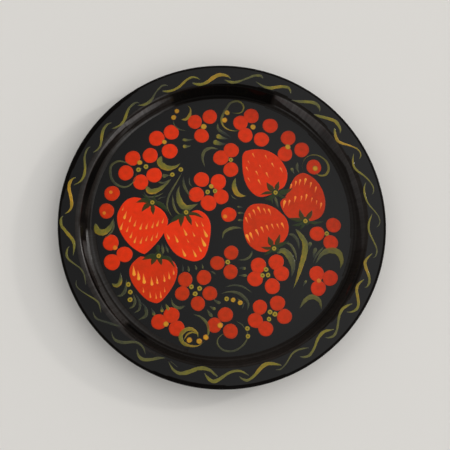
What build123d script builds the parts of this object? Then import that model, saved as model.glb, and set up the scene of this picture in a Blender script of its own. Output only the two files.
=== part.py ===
"""Round painted tray: a pressed sheet-steel pan with its rim rolled round a wire.

The pan is one piece of sheet: a flat floor, a steep wall, a nearly level flange and a hem that
curls under. The hem holds a steel wire that stiffens the rim and takes the sharp edge away.
The origin is on the table, under the middle of the floor, and +Z is up.
"""
from build123d import *
import math
import os

# Driving dimensions, in millimetres and degrees
tray_diameter = 300
tray_height = 17.2        # table to the top of the rolled hem
sheet = 0.8               # thickness of the lacquered sheet
floor_diameter = 246.4    # flat part of the floor, up to the bend of the foot
wall_angle = 74           # slope of the wall, from level
foot_bend = 3.0           # inside radius where the floor turns up
shoulder_bend = 2.2       # outside radius where the wall turns out
flange_angle = 1.5        # the flange climbs a little towards the rim
wire_diameter = 2.0
wire_play = 0.03          # room between the wire and the sheet that is closed on it
hem_wrap = 282            # how far the hem goes round the wire
wire_gap = 0.8            # where the two cut ends of the wire meet

# Centre line of the sheet
tray_radius = tray_diameter / 2
wire_radius = wire_diameter / 2
hem_bend = wire_radius + wire_play + sheet / 2
hem_r = tray_radius - hem_bend - sheet / 2
hem_z = tray_height - hem_bend - sheet / 2

climb = math.radians(flange_angle)
hem_start = (hem_r - hem_bend * math.sin(climb), hem_z + hem_bend * math.cos(climb))

# The foot's corner stands one bend's tangent length outside the flat floor
foot_radius = foot_bend + sheet / 2
foot_corner = (floor_diameter / 2 + foot_radius * math.tan(math.radians(wall_angle / 2)), sheet / 2)

# The shoulder's corner is where the wall's line meets the flange's line
wall_run_per_rise = 1 / math.tan(math.radians(wall_angle))
flange_z_at_foot = hem_start[1] - (hem_start[0] - foot_corner[0]) * math.tan(climb)
wall_rise = (flange_z_at_foot - foot_corner[1]) / (1 - wall_run_per_rise * math.tan(climb))
shoulder_corner = (foot_corner[0] + wall_rise * wall_run_per_rise, foot_corner[1] + wall_rise)
shoulder_radius = shoulder_bend - sheet / 2

os.makedirs("parts", exist_ok=True)

# The pan: its centre line from the middle of the floor out to the end of the hem, thickened to
# the sheet and turned once round
with BuildPart() as tray_pan:
    with BuildSketch(Plane.XZ) as pan_section:
        with BuildLine() as pan_line:
            bowl = FilletPolyline(
                (0, sheet / 2),
                foot_corner,
                shoulder_corner,
                hem_start,
                radius=[foot_radius, shoulder_radius],
            )
            JernArc(start=bowl @ 1, tangent=bowl % 1, radius=hem_bend, arc_size=-hem_wrap)
        trace(line_width=sheet)
    revolve(axis=Axis.Z)
tray_pan.part.label = "tray_pan"
export_step(tray_pan.part, "parts/tray_pan.step")

# The wire: a ring of round steel lying in the hem, with its cut ends almost touching
wire_turn = 360 - math.degrees(wire_gap / hem_r)
with BuildPart() as edge_wire:
    with BuildSketch(Plane.XZ) as wire_section:
        with Locations((hem_r, hem_z)):
            Circle(wire_radius)
    revolve(axis=Axis.Z, revolution_arc=wire_turn)
edge_wire.part.label = "edge_wire"
export_step(edge_wire.part, "parts/edge_wire.step")

print(f"floor {floor_diameter / 2:.1f} to shoulder {shoulder_corner[0]:.1f}, wall rise {wall_rise:.1f}")
for piece in (tray_pan, edge_wire):
    size = piece.part.bounding_box().size
    print(f"{piece.part.label}: {size.X:.1f} x {size.Y:.1f} x {size.Z:.1f} mm,"
          f" {piece.part.volume / 1000:.1f} cm3")
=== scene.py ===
# %% [markdown]
# # A painted tray
# A round tray is pressed from one disc of sheet steel. Its edge is rolled round a wire, it is
# coated with black lacquer, and a painter then lays wild strawberries, rowan berries and grass
# on it with a soft brush. The pressed shape comes ready made from the CAD model, as a frame that
# stays where it is. In Blender the tray gets its smooth skin, its lacquer and every stroke of paint.
#
# The frame is loaded first, because each later piece reads its place from it.

# %% load the frame
import math

import bpy
import numpy as np
from mathutils import Matrix, Vector


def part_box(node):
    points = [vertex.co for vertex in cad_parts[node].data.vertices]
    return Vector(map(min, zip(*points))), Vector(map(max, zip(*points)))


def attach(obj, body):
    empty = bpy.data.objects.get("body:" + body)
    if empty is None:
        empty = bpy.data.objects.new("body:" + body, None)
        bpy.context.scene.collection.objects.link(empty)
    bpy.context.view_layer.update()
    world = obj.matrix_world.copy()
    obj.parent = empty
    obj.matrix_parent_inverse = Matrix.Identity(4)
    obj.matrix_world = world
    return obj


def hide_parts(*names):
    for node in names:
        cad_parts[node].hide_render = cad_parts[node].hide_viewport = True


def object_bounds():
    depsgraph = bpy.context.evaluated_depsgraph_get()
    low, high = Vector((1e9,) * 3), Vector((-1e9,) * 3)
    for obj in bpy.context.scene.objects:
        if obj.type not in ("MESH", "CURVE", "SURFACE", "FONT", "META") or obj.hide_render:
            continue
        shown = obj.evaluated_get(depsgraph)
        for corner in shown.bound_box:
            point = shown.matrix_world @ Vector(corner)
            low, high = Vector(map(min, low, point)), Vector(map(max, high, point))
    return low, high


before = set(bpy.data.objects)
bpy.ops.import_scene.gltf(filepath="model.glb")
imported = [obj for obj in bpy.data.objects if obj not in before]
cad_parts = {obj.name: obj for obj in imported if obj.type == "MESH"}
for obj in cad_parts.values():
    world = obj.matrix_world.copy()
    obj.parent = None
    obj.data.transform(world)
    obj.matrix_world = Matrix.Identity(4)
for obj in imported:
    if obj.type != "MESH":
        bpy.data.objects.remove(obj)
cad_low, cad_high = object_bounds()
MM = 0.001
HEIGHT = cad_high.z / MM
RADIUS = (cad_high.x - cad_low.x) / 2 / MM
print("nodes", sorted(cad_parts), "radius", round(RADIUS, 2), "height", round(HEIGHT, 2), "mm")

# %% [markdown]
# ## Writing materials as sums
# A material in Blender is a graph of nodes. Laying out the nodes by hand hides the sum that they
# make, so a small class wraps one socket: adding or multiplying two of them adds the Math node
# that does it. Everything else comes from `node`, which sets a node's settings first and then
# fills its sockets with numbers, colours or other wrapped sockets.

# %% sockets that can be added and multiplied
class Value:
    """One output of a node, which Python's own signs turn into Math nodes."""

    def __init__(self, graph, socket):
        self.graph, self.socket = graph, socket

    def math(self, operation, first, second=0.0, clamp=False):
        return self.graph.node("ShaderNodeMath", {"operation": operation, "use_clamp": clamp},
                               {0: first, 1: second})

    def __add__(self, other):
        return self.math("ADD", self, other)

    def __sub__(self, other):
        return self.math("SUBTRACT", self, other)

    def __rsub__(self, other):
        return self.math("SUBTRACT", other, self)

    def __mul__(self, other):
        return self.math("MULTIPLY", self, other)

    def __pow__(self, other):
        return self.math("POWER", self, other)

    def __abs__(self):
        return self.math("ABSOLUTE", self)

    def clamped(self):
        return self.math("ADD", self, 0.0, clamp=True)

    def other(self, output):
        """Another output of the same node."""
        return Value(self.graph, self.socket.node.outputs[output])

    __radd__, __rmul__ = __add__, __mul__


print("signs that make nodes: + - * ** and abs")


# %% a graph of nodes, for a material or for the world
class Graph:
    """The nodes of one material or world."""

    def __init__(self, owner):
        owner.use_nodes = True
        self.tree = owner.node_tree
        self.tree.nodes.clear()

    def node(self, kind, settings=None, inputs=None, output=0):
        made = self.tree.nodes.new(kind)
        for key, value in (settings or {}).items():
            if key == "stops":
                ramp = made.color_ramp
                while len(ramp.elements) < len(value):
                    ramp.elements.new(0.5)
                for element, (place, colour) in zip(ramp.elements, value):
                    element.position = place
                    element.color = (*colour, 1.0)
            else:
                setattr(made, key, value)
        for key, value in (inputs or {}).items():
            if isinstance(value, Value):
                self.tree.links.new(value.socket, made.inputs[key])
            elif isinstance(value, tuple) and len(value) == 3 and made.inputs[key].type == "RGBA":
                made.inputs[key].default_value = (*value, 1.0)
            else:
                made.inputs[key].default_value = value
        return Value(self, made.outputs[output]) if made.outputs else None

    def attribute(self, name, output="Fac"):
        return self.node("ShaderNodeAttribute", {"attribute_name": name}, output=output)

    def ramp(self, value, *stops):
        return self.node("ShaderNodeValToRGB", {"stops": stops}, {"Fac": value})

    def blend(self, share, first, second):
        return self.node("ShaderNodeMix", {"data_type": "RGBA"}, {0: share, 6: first, 7: second}, 2)

    def step(self, value, low, high):
        """A soft step from 0 at low to 1 at high."""
        return self.node("ShaderNodeMapRange", {"interpolation_type": "SMOOTHSTEP"},
                         {"Value": value, "From Min": low, "From Max": high})

    def scaled(self, vector, factors):
        return self.node("ShaderNodeVectorMath", {"operation": "MULTIPLY"}, {0: vector, 1: factors})

    def reach(self, mark):
        """How far a point lies from the middle of its dab, whatever seed the mark holds."""
        flat = self.scaled(mark, (1.0, 1.0, 0.0))
        return self.node("ShaderNodeVectorMath", {"operation": "LENGTH"}, {0: flat}, "Value")

    def noise(self, vector, scale, detail, rough=0.5):
        return self.node("ShaderNodeTexNoise", {},
                         {"Vector": vector, "Scale": scale, "Detail": detail, "Roughness": rough})

    def bump(self, height, distance=MM):
        return self.node("ShaderNodeBump", {}, {"Height": height, "Distance": distance, "Strength": 1.0})

    def place(self):
        return self.node("ShaderNodeTexCoord", output="Object")


def material(name):
    made = bpy.data.materials.new(name)
    return made, Graph(made)


def coat(graph, colour, rough, bump=None, **others):
    """A lacquered surface, with its colour, roughness, a bump if given, and other settings.
    A lacquered surface: what varies goes to the sockets that a baked material keeps.
    """
    inputs = {"Base Color": colour, "Roughness": rough, **others}
    if bump is not None:
        inputs["Normal"] = bump
    shader = graph.node("ShaderNodeBsdfPrincipled", {}, inputs)
    graph.node("ShaderNodeOutputMaterial", {}, {"Surface": shader})


print("graph helpers ready")

# %% [markdown]
# ## The pan's section
# The tray is a body of revolution, so one section line says everything: floor, foot bend, steep
# wall, shoulder bend, a flange that climbs a little, and the hem that rolls under and round the
# wire. The sheet has two faces, and on a bend each face has its own radius about the same centre.
# The straight runs follow by joining the ends of the arcs. The sizes are the pressing's own, and
# once the section is turned, its box is printed beside the CAD model's own.

# %% the section of the pan, in millimetres
SHEET = 0.8
FLOOR_R = 123.2
WALL, CLIMB = math.radians(74), math.radians(1.5)
FOOT, SHOULDER = 3.0, 2.2
WIRE_R, PLAY, WRAP = 1.0, 0.03, 282.0
wall_deg, climb_deg = math.degrees(WALL), math.degrees(CLIMB)

hem_bend = WIRE_R + PLAY + SHEET / 2
hem = (RADIUS - hem_bend - SHEET / 2, HEIGHT - hem_bend - SHEET / 2)
hem_start = (hem[0] - hem_bend * math.sin(CLIMB), hem[1] + hem_bend * math.cos(CLIMB))
foot_mid = FOOT + SHEET / 2
foot_corner = (FLOOR_R + foot_mid * math.tan(WALL / 2), SHEET / 2)
flange_at_foot = hem_start[1] - (hem_start[0] - foot_corner[0]) * math.tan(CLIMB)
rise = (flange_at_foot - foot_corner[1]) / (1 - math.tan(CLIMB) / math.tan(WALL))
shoulder_corner = (foot_corner[0] + rise / math.tan(WALL), foot_corner[1] + rise)
shoulder_mid = SHOULDER - SHEET / 2
back = shoulder_mid * math.tan((WALL - CLIMB) / 2)
foot_centre = (FLOOR_R, SHEET / 2 + foot_mid)
shoulder_centre = (shoulder_corner[0] - back * math.cos(WALL) + shoulder_mid * math.sin(WALL),
                   shoulder_corner[1] - back * math.sin(WALL) - shoulder_mid * math.cos(WALL))
print("wall rise", round(rise, 2), "shoulder at", round(shoulder_corner[0], 2))

# %% [markdown]
# The bends need many points and the level runs only a few, so each run is filled with points no
# further apart than its own longest step. The wall and the edges beside it get short steps, because
# the streaks that are laid on them later are kept at the mesh's own points.


# %% the two faces of the sheet, from the middle outwards and back
def arc(centre, radius, first, last, steps):
    angles = np.radians(np.linspace(first, last, steps + 1))
    return [(centre[0] + radius * math.cos(a), centre[1] + radius * math.sin(a)) for a in angles]


def filled(line, longest):
    """The same line, with points added on its long runs."""
    full = [line[0]]
    for a, b in zip(line, line[1:]):
        parts = max(1, math.ceil(math.dist(a, b) / longest))
        full += [(a[0] + (b[0] - a[0]) * k / parts, a[1] + (b[1] - a[1]) * k / parts)
                 for k in range(1, parts + 1)]
    return full


LEVEL_STEP, WALL_STEP, EDGE_STEP, UNDER_STEP = 4.2, 1.25, 1.0, 16
floor_edge = (118.0, SHEET)
roll_end = 90 + climb_deg - WRAP
bowl = (filled([(0.0, SHEET), floor_edge], LEVEL_STEP)
        + filled([floor_edge] + arc(foot_centre, FOOT, -90, wall_deg - 90, 8)
                 + arc(shoulder_centre, SHOULDER, 90 + wall_deg, 90 + climb_deg, 10), WALL_STEP)[1:])
roll = arc(hem, hem_bend + SHEET / 2, 90 + climb_deg, roll_end, 34)
near_shoulder, near_hem = [(r, roll[0][1] - (roll[0][0] - r) * math.tan(CLIMB)) for r in (136.0, 145.0)]
face = (bowl + filled([bowl[-1], near_shoulder], EDGE_STEP)[1:]
        + filled([near_shoulder, near_hem], LEVEL_STEP)[1:] + filled([near_hem] + roll, EDGE_STEP)[1:])
under = filled(arc(hem, hem_bend - SHEET / 2, roll_end, 90 + climb_deg, 22)
               + arc(shoulder_centre, SHOULDER - SHEET, 90 + climb_deg, 90 + wall_deg, 8)
               + arc(foot_centre, FOOT + SHEET, wall_deg - 90, -90, 8) + [(0.0, 0.0)], UNDER_STEP)
print("face points", len(face), "under points", len(under))

# %% [markdown]
# ## How the face lies
# A hand-finished tray isn't perfectly flat. The floor crowns a little between its ring of contact
# and the middle, and the flange dips and rises by a few hundredths of a millimetre. It can't be
# measured by eye, but gloss shows it, because reflections bend. One function gives the height of the
# face at any point, so that the paint can later be laid on exactly the same surface. The drawn
# height is squeezed a little, which leaves room for the coats of paint inside the CAD box.

# %% the height of the face
COATS = 0.06
SQUEEZE = (HEIGHT - COATS) / HEIGHT
CROWN, SWELL, DIP = 0.22, 0.018, 0.03
CROWN_R, SWELL_R, BEND_R, FLANGE_R = 116, 118, 120, 132


def sag(x, y):
    """What the hand-finished sheet adds to the drawn height, in millimetres."""
    r = np.hypot(x, y)
    crown = CROWN * np.clip(1 - (r / CROWN_R) ** 2, 0, 1)
    swell = SWELL * (np.sin(x / 21 + 1.3) * np.cos(y / 26) + np.sin((x - y) / 17 + 0.4))
    around = np.arctan2(y, x)
    dip = -DIP + DIP * np.sin(3 * around + 0.7) * np.cos(5 * around)
    return np.where(r < BEND_R, crown + swell * np.clip((SWELL_R - r) / 20, 0, 1),
                    dip * np.clip((r - FLANGE_R) / 6, 0, 1))


# the face without the part of the hem that curls back under
outward = [p for k, p in enumerate(face) if k == 0 or p[0] > max(q[0] for q in face[:k])]


def lie(x, y):
    """The height of the tray's face above its floor, in millimetres."""
    r = np.hypot(x, y)
    base = np.interp(r, [p[0] for p in outward], [p[1] for p in outward])
    return base * SQUEEZE + sag(x, y)


print("face height at 0, 100, 140 mm:", [round(float(lie(np.array(r), np.array(0.0))), 3)
                                        for r in (0.0, 100.0, 140.0)])


# %% turning arrays of points into a mesh
def mesh_object(name, points, faces, **carried):
    """A mesh from points in millimetres, smooth, with what its material reads at each point."""
    mesh = bpy.data.meshes.new(name)
    mesh.from_pydata((np.asarray(points) * MM).tolist(), [], faces)
    mesh.polygons.foreach_set("use_smooth", [True] * len(mesh.polygons))
    for key, values in carried.items():
        values = np.asarray(values, np.float32)
        kind, field = ("FLOAT_VECTOR", "vector") if values.ndim == 2 else ("FLOAT", "value")
        mesh.attributes.new(key, kind, "POINT").data.foreach_set(field, values.ravel())
    made = bpy.data.objects.new(name, mesh)
    bpy.context.scene.collection.objects.link(made)
    return made


print("mesh helper ready")

# %% [markdown]
# ## Spinning the section
# A Screw modifier could spin the section, but here the points are set one by one, so that each can
# take the sheet's own unevenness and, later, the lightness of its streak. The underside follows
# the crown of the floor, a little less than the face does, and never goes below the table. The tray
# is smooth all over but for the cut end of the sheet, under the hem, whose two edges are marked sharp.

# %% turn the section round the axis
TURNS = 480
UNDER_SHARE = 0.9


def turned(section):
    """The section turned round the axis; its first and last points lie on the axis."""
    around = np.arange(TURNS) * 2 * math.pi / TURNS
    points, faces = [(0.0, 0.0, section[0][1])], []
    for r, z in section[1:-1]:
        points += [(r * math.cos(a), r * math.sin(a), z) for a in around]
    points.append((0.0, 0.0, section[-1][1]))
    rows, last = len(section) - 2, len(points) - 1
    for k in range(TURNS):
        n = (k + 1) % TURNS
        faces.append((0, 1 + k, 1 + n))
        for row in range(rows - 1):
            a, b = 1 + row * TURNS, 1 + (row + 1) * TURNS
            faces.append((a + k, b + k, b + n, a + n))
        end = 1 + (rows - 1) * TURNS
        faces.append((last, end + n, end + k))
    points = np.array(points)
    points[:, 2] = points[:, 2] * SQUEEZE
    lift = sag(points[:, 0], points[:, 1])
    points[:, 2] = np.where(points[:, 2] > SHEET / 2, points[:, 2] + lift,
                            points[:, 2] + np.clip(lift, 0, None) * UNDER_SHARE)
    return points, faces


pan_points, pan_faces = turned(face + under)
pan = mesh_object("lacquered_pan", pan_points, pan_faces)

# an edge goes round the tray when both its ends lie on the same ring of points
ends = np.zeros(2 * len(pan.data.edges), np.int32)
pan.data.edges.foreach_get("vertices", ends)
first, second = ((ends - 1) // TURNS).reshape(-1, 2).T
sharp = (first == second) & np.isin(first, (len(face) - 2, len(face) - 1))
pan.data.edges.foreach_set("use_edge_sharp", sharp)

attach(pan, "root")
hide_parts("tray_pan")
low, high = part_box("tray_pan")
print("pan", len(pan_points), "points; box", pan_points.min(0).round(3), pan_points.max(0).round(3),
      "CAD", [round(v / MM, 3) for v in (*low, *high)], "sharp edges", int(sharp.sum()))

# %% [markdown]
# ## Black lacquer
# The ground is many thin coats of black lacquer, rubbed down and polished. It is nearly black, so
# almost all that the eye gets from it is reflection. Two things keep it from looking like plastic:
# the faint orange peel of a dried coat, and a roughness that wanders a little where cloths and hands
# have been.
#
# The steep wall is different. It is too steep to mirror the ceiling, and its lacquer lies on fine
# upright ripples from the pressing, so what it shows is soft grey and black streaks that run round it:
# bright where the room or the table lights it, black where it faces nothing. A plain studio has no
# such room, so these reflections are painted into the colour of the wall, as painted reflections
# and painted shade. The hem gets a painted black line too, in the same dull lacquer.

# %% the two lacquers
def lacquer(name, colour_of, gloss, rippled=0.0):
    """Black lacquer: how its colour follows the clouds in it, how much it reflects, how it ripples."""
    made, g = material(name)
    place = g.place()
    cloudy, peel = g.noise(place, 14.0, 4.0), g.noise(place, 900.0, 2.0)
    x = g.node("ShaderNodeSeparateXYZ", {}, {0: place})
    turn = x.other(1).math("ARCTAN2", x.other(1), x)
    upright = g.node("ShaderNodeCombineXYZ", {}, {0: turn * 60.0, 1: x.other(2) * 30.0})
    ripples = g.noise(upright, 1.0, 2.0)
    relief = peel * 0.004 + cloudy * 0.03 + ripples * rippled
    coat(g, colour_of(g, cloudy, ripples), cloudy * 0.07 + 0.075, g.bump(relief),
         **{"Specular IOR Level": gloss})
    return made


def plain_black(g, cloudy, _):
    """Nearly black, and a little less so in the clouds."""
    return g.blend(cloudy, (0.0042, 0.0042, 0.0046), (0.0062, 0.0060, 0.0060))


# painted reflections and painted shade on the wall, grey or black by each streak's tone
def painted_light_black(g, cloudy, ripples):
    """Grey by the streak's own tone, which the ripples and clouds break up; dark tones lean to brown."""
    return g.ramp(g.attribute("tone") * (ripples * 0.9 + cloudy * 0.3 + 0.4),
                  (0.0, (0.0, 0.0, 0.0)), (0.012, (0.0143, 0.0115, 0.0100)),
                  (0.06, (0.062, 0.060, 0.059)), (1.0, (1.0, 1.0, 1.0)))


pan.data.materials.append(lacquer("black_lacquer", plain_black, 0.5))
# the wall and the hem get a dull lacquer whose colour holds the painted reflections and shade
pan.data.materials.append(lacquer("wall_lacquer_painted_light", painted_light_black, 0.04, 0.1))
print("lacquers", [made.name for made in pan.data.materials])

# %% [markdown]
# ## The streaks: painted reflections and painted shade
# A streak is a course of a few stations. Each station has a turn in degrees, anticlockwise from the
# right side of the tray, the two heights between which the streak lies, and how light it looks
# there, from 0 for black to 1 for white. The heights are counted in millimetres along the section,
# from a ring just inside the foot, so that one number runs over the floor's edge, up the wall and
# out to the hem. Between stations everything changes evenly, and a later course covers an earlier one.

# %% painted reflections of the right side: grey, lightest towards the far end, over a thin line at the foot
RIGHT_PAINTED_LIGHT = [
    [(350, 16.5, 19.6, 0.12), (360, 12.2, 19.6, 0.13), (372, 9.5, 19.4, 0.158), (378, 9.6, 19.4, 0.168),
     (385, 12, 19.4, 0.17), (391, 9, 19.4, 0.158), (396, 7.2, 20.2, 0.158), (403, 7, 20.6, 0.155)],
    [(44, 7.6, 20.4, 0.19), (48, 8.3, 20.3, 0.205), (54, 9.4, 20.2, 0.213), (60, 10.6, 20.6, 0.215),
     (64, 13, 20.6, 0.21), (67, 16, 20.6, 0.18)],
    [(40, 3.2, 4.4, 0.12), (48, 3.2, 4.4, 0.18), (54, 3.6, 5.2, 0.165), (60, 4.4, 5.6, 0.18),
     (66, 4.8, 6, 0.165)],
    # painted shade on the floor's edge, and painted dark reflection on the shoulder, along the right side
    [(336, 0.6, 2.4, 0.13), (350, 0, 2.4, 0.11), (360, -1, 2.4, 0.105), (384, -1.2, 2, 0.10),
     (404, -0.6, 2, 0.10), (420, 0.4, 2, 0.12), (430, 0.6, 1.8, 0.13)],
    [(40, 21.4, 22.4, 0.11), (46, 21.2, 23.3, 0.09), (52, 21.3, 23.6, 0.075), (60, 21.6, 23.4, 0.095),
     (66, 20.6, 24, 0.065), (72, 20.6, 23.4, 0.055), (78, 20.6, 22.6, 0.06), (86, 20.6, 22, 0.07)]]
print("right side", len(RIGHT_PAINTED_LIGHT), "streaks")

# %% painted reflections of the far side
FAR_PAINTED_LIGHT = [
    # a painted black reflection from foot to shoulder
    [(69, 4.2, 21.5, 0.028), (72, 3, 22.5, 0.028), (84, 2.3, 21.8, 0.027), (90, 1.8, 21.4, 0.027),
     (98, 1.6, 20.6, 0.029), (106, 2.2, 20.2, 0.033), (112, 3, 20, 0.045)],
    # further left, a bright painted reflection that climbs into the shoulder
    [(113, 7.5, 14, 0.105), (120, 7.5, 12, 0.115), (126, 8, 12.4, 0.15), (132, 8.2, 12.6, 0.17),
     (138, 8, 12, 0.17), (142, 7.5, 12, 0.10)],
    [(145, 8, 14, 0.08), (150, 8.2, 17, 0.052), (162, 8.2, 18, 0.046), (168, 9, 18, 0.052),
     (174, 10.5, 18.2, 0.075), (180, 8, 19.4, 0.067)],
    [(113, 14, 17.4, 0.15), (117, 12.4, 17.6, 0.2), (120, 11.2, 17.9, 0.255), (126, 11.8, 18.2, 0.3),
     (132, 12, 19, 0.305), (136, 14.5, 20.2, 0.3), (144, 16.2, 20.6, 0.29), (150, 18.2, 20.6, 0.25),
     (156, 19, 20.8, 0.215), (162, 19.2, 21, 0.195), (174, 19.2, 21, 0.18), (181, 19.8, 21, 0.12)],
    [(113, 2, 3.6, 0.17), (117, 1.5, 3.4, 0.2), (120, 0.8, 2.9, 0.235), (126, 0.8, 3, 0.265),
     (132, 1.3, 3.4, 0.29), (138, 1.9, 3.6, 0.29), (144, 2, 4.6, 0.225), (150, 1.2, 5.4, 0.17),
     (156, 0.8, 4, 0.18), (168, 0.8, 3.4, 0.19), (176, 0.8, 2.6, 0.175), (183, 0.8, 2.6, 0.175)],
    [(134, 3.4, 5, 0.15), (138, 3.6, 6, 0.2), (144, 4.4, 7, 0.17), (150, 4, 7.4, 0.15),
     (162, 3.4, 7.2, 0.115), (170, 3.4, 8.4, 0.118), (176, 3.4, 10, 0.122), (179, 3.6, 9, 0.08)]]
print("far side", len(FAR_PAINTED_LIGHT), "streaks")

# %% painted reflections of the left side
LEFT_PAINTED_LIGHT = [
    # a painted glint, then a grey painted reflection over the whole wall, with a dark line under the
    # shoulder
    [(184, 4.2, 7.4, 0.34), (187, 4.2, 7.8, 0.37), (190, 3.4, 8.4, 0.31), (193, 3.4, 9, 0.29),
     (198, 3.6, 10, 0.245), (204, 3.2, 8.6, 0.185), (210, 3.2, 12.6, 0.19), (216, 3.2, 14.6, 0.185),
     (222, 3.2, 15.6, 0.165), (226, 3.4, 15.6, 0.15)],
    [(189, 8.6, 16.4, 0.2), (193, 9, 16.2, 0.225), (198, 10, 14.2, 0.165), (204, 8.8, 14.4, 0.115),
     (208, 10, 14, 0.12)],
    [(184, 16.6, 19.2, 0.08), (190, 17, 18.6, 0.085), (198, 15.4, 17.8, 0.08), (204, 14.6, 17.7, 0.065),
     (210, 14.6, 17.6, 0.062), (216, 15.8, 18, 0.08), (222, 16.2, 18.6, 0.115), (226, 16.6, 19, 0.1)],
    [(183, 19.4, 21, 0.2), (186, 19.4, 21.4, 0.22), (189, 19.3, 20.7, 0.3), (192, 19.3, 20.6, 0.33),
     (198, 18.7, 20.7, 0.285), (204, 18.7, 20.8, 0.22), (216, 18.8, 21, 0.205), (224, 18.9, 21, 0.2),
     (227, 19.4, 21.6, 0.15)],
    [(184, 0.4, 3.4, 0.185), (192, 0.4, 3.4, 0.205), (198, 0.4, 3.2, 0.2), (204, 0.4, 2.2, 0.2),
     (228, 0.4, 2.1, 0.19), (236, 0.4, 1.9, 0.165), (246, 0.4, 1.8, 0.14), (254, 0.4, 1.7, 0.12)],
    [(182, -2.6, -0.6, 0.125), (192, -2.6, -0.6, 0.14), (208, -2.8, -0.6, 0.148), (226, -2.6, -0.6, 0.142),
     (240, -2.4, -0.6, 0.122), (254, -2.2, -0.6, 0.114)],
    [(184, -0.8, 0.5, 0.15), (196, -0.8, 0.5, 0.168), (212, -0.8, 0.5, 0.17), (228, -0.8, 0.5, 0.155),
     (242, -0.8, 0.5, 0.13), (254, -0.8, 0.5, 0.115)],
    [(187, 3.2, 4.4, 0.2), (194, 3.2, 4.4, 0.17), (204, 3.2, 4.4, 0.15), (216, 3.2, 4.4, 0.15),
     (225, 3.2, 4.4, 0.13)],
    # along the left, a light painted reflection on the flange just outside the shoulder
    [(114, 20.8, 22.4, 0.18), (120, 20.5, 22.4, 0.2), (128, 20.7, 22.3, 0.165), (140, 20.8, 22.6, 0.16),
     (156, 21, 22.7, 0.17), (180, 21, 22.8, 0.17), (194, 21, 22.8, 0.185), (206, 21, 22.7, 0.168),
     (226, 21.3, 22.8, 0.175), (234, 22, 23, 0.17), (244, 22.4, 23.4, 0.16)],
    [(142, 22.6, 24, 0.145), (160, 22.7, 24.2, 0.16), (196, 22.8, 24.4, 0.165), (224, 22.8, 24.4, 0.162),
     (240, 23, 24.4, 0.16), (250, 23.2, 24.2, 0.15)],
    # and the painted reflection turns dark towards the near side
    [(228, 3.4, 11, 0.07), (236, 3.4, 9, 0.06)]]
print("left side", len(LEFT_PAINTED_LIGHT), "streaks")

# %% painted reflections of the near side, and the hem
NEAR_PAINTED_LIGHT = [
    # painted dark reflection, darkest on the right
    [(296, 3, 20, 0.08), (312, 3, 20.4, 0.07), (324, 3, 20.4, 0.06), (338, 3, 20, 0.06),
     (348, 3, 17, 0.068)],
    [(302, 3, 6.6, 0.065), (314, 3, 7, 0.045), (330, 3, 7, 0.04), (342, 3, 6.6, 0.055)],
    [(300, 20, 21.2, 0.09), (312, 19.2, 22, 0.062), (324, 19, 22.2, 0.05), (336, 18.6, 22.6, 0.04),
     (344, 19, 22.6, 0.058), (352, 19.8, 22.2, 0.088), (372, 20.2, 22.4, 0.095), (388, 20.3, 22, 0.09),
     (394, 20.6, 21.6, 0.1)],
    [(316, 21.8, 22.8, 0.11), (326, 22.2, 23.6, 0.105), (336, 22.6, 24.2, 0.11), (346, 22.5, 23.6, 0.115),
     (356, 22.2, 23.2, 0.12), (384, 22.4, 23.2, 0.13)],
    # the hem: a painted black line all round, wider on the left of the far side and near the front
    [(0, 37.4, 60, 0.045), (360, 37.4, 60, 0.045)],
    [(124, 36.4, 38, 0.042), (132, 35.2, 38, 0.04), (144, 34, 38, 0.038), (158, 35, 38, 0.04),
     (172, 36.4, 38, 0.045)],
    [(246, 36.2, 38, 0.042), (262, 35.8, 38, 0.04), (280, 36.4, 38, 0.045), (300, 37.2, 38, 0.045)]]
PAINTED_LIGHT = RIGHT_PAINTED_LIGHT + FAR_PAINTED_LIGHT + LEFT_PAINTED_LIGHT + NEAR_PAINTED_LIGHT
print("near side and hem", len(NEAR_PAINTED_LIGHT), "streaks, in all", len(PAINTED_LIGHT))

# %% [markdown]
# ## From looks to paint
# How light a streak looks isn't yet how light its paint is. A screen shows a look of one half with
# about a fifth of its full light, so a look is first turned into light. Then the little that the
# gloss adds is taken off, and the rest is divided by how much light that part of the tray gets. The
# wall and the edge of the floor get about half of what falls on open, level ground; the flange, and
# the wall on the left where it faces the window, get nearly all of it. The result is kept on the
# mesh as a number for each point. The wall's lacquer goes on the faces of the wall, and on those
# beside it that a streak covers.

# %% how light a place looks, and how much light falls on it
# PLAIN_LOOK is the painted look of the wall where no streak lies
PLAIN_LOOK, END_FADE, EDGE_FADE = 0.085, 1.5, 0.6
# the turns at which the wall faces the window, and the bright side of the room
FACES_WINDOW, FACES_ROOM = 184, 230


def painted_light_at(turn, up):
    """The painted look of the wall at a turn and a distance up the section, and where a streak lies."""
    look, covered = np.full(turn.shape, PLAIN_LOOK), np.zeros(turn.shape)
    for course in PAINTED_LIGHT:
        turns, low, high, tone = np.array(course, float).T
        span, past = turns[-1] - turns[0], (turn - turns[0] + 2) % 360 - 2
        ends = 1.0
        if span < 360:
            ends = np.clip(past / END_FADE + 1, 0, 1) * np.clip((span - past) / END_FADE + 1, 0, 1)
        low, high, tone = (np.interp(past, turns - turns[0], values) for values in (low, high, tone))
        share = ends * np.clip((up - low) / EDGE_FADE + 0.5, 0, 1)
        share = share * np.clip((high - up) / EDGE_FADE + 0.5, 0, 1)
        look = look + (tone - look) * share
        covered = np.maximum(covered, share)
    return look, covered


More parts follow.
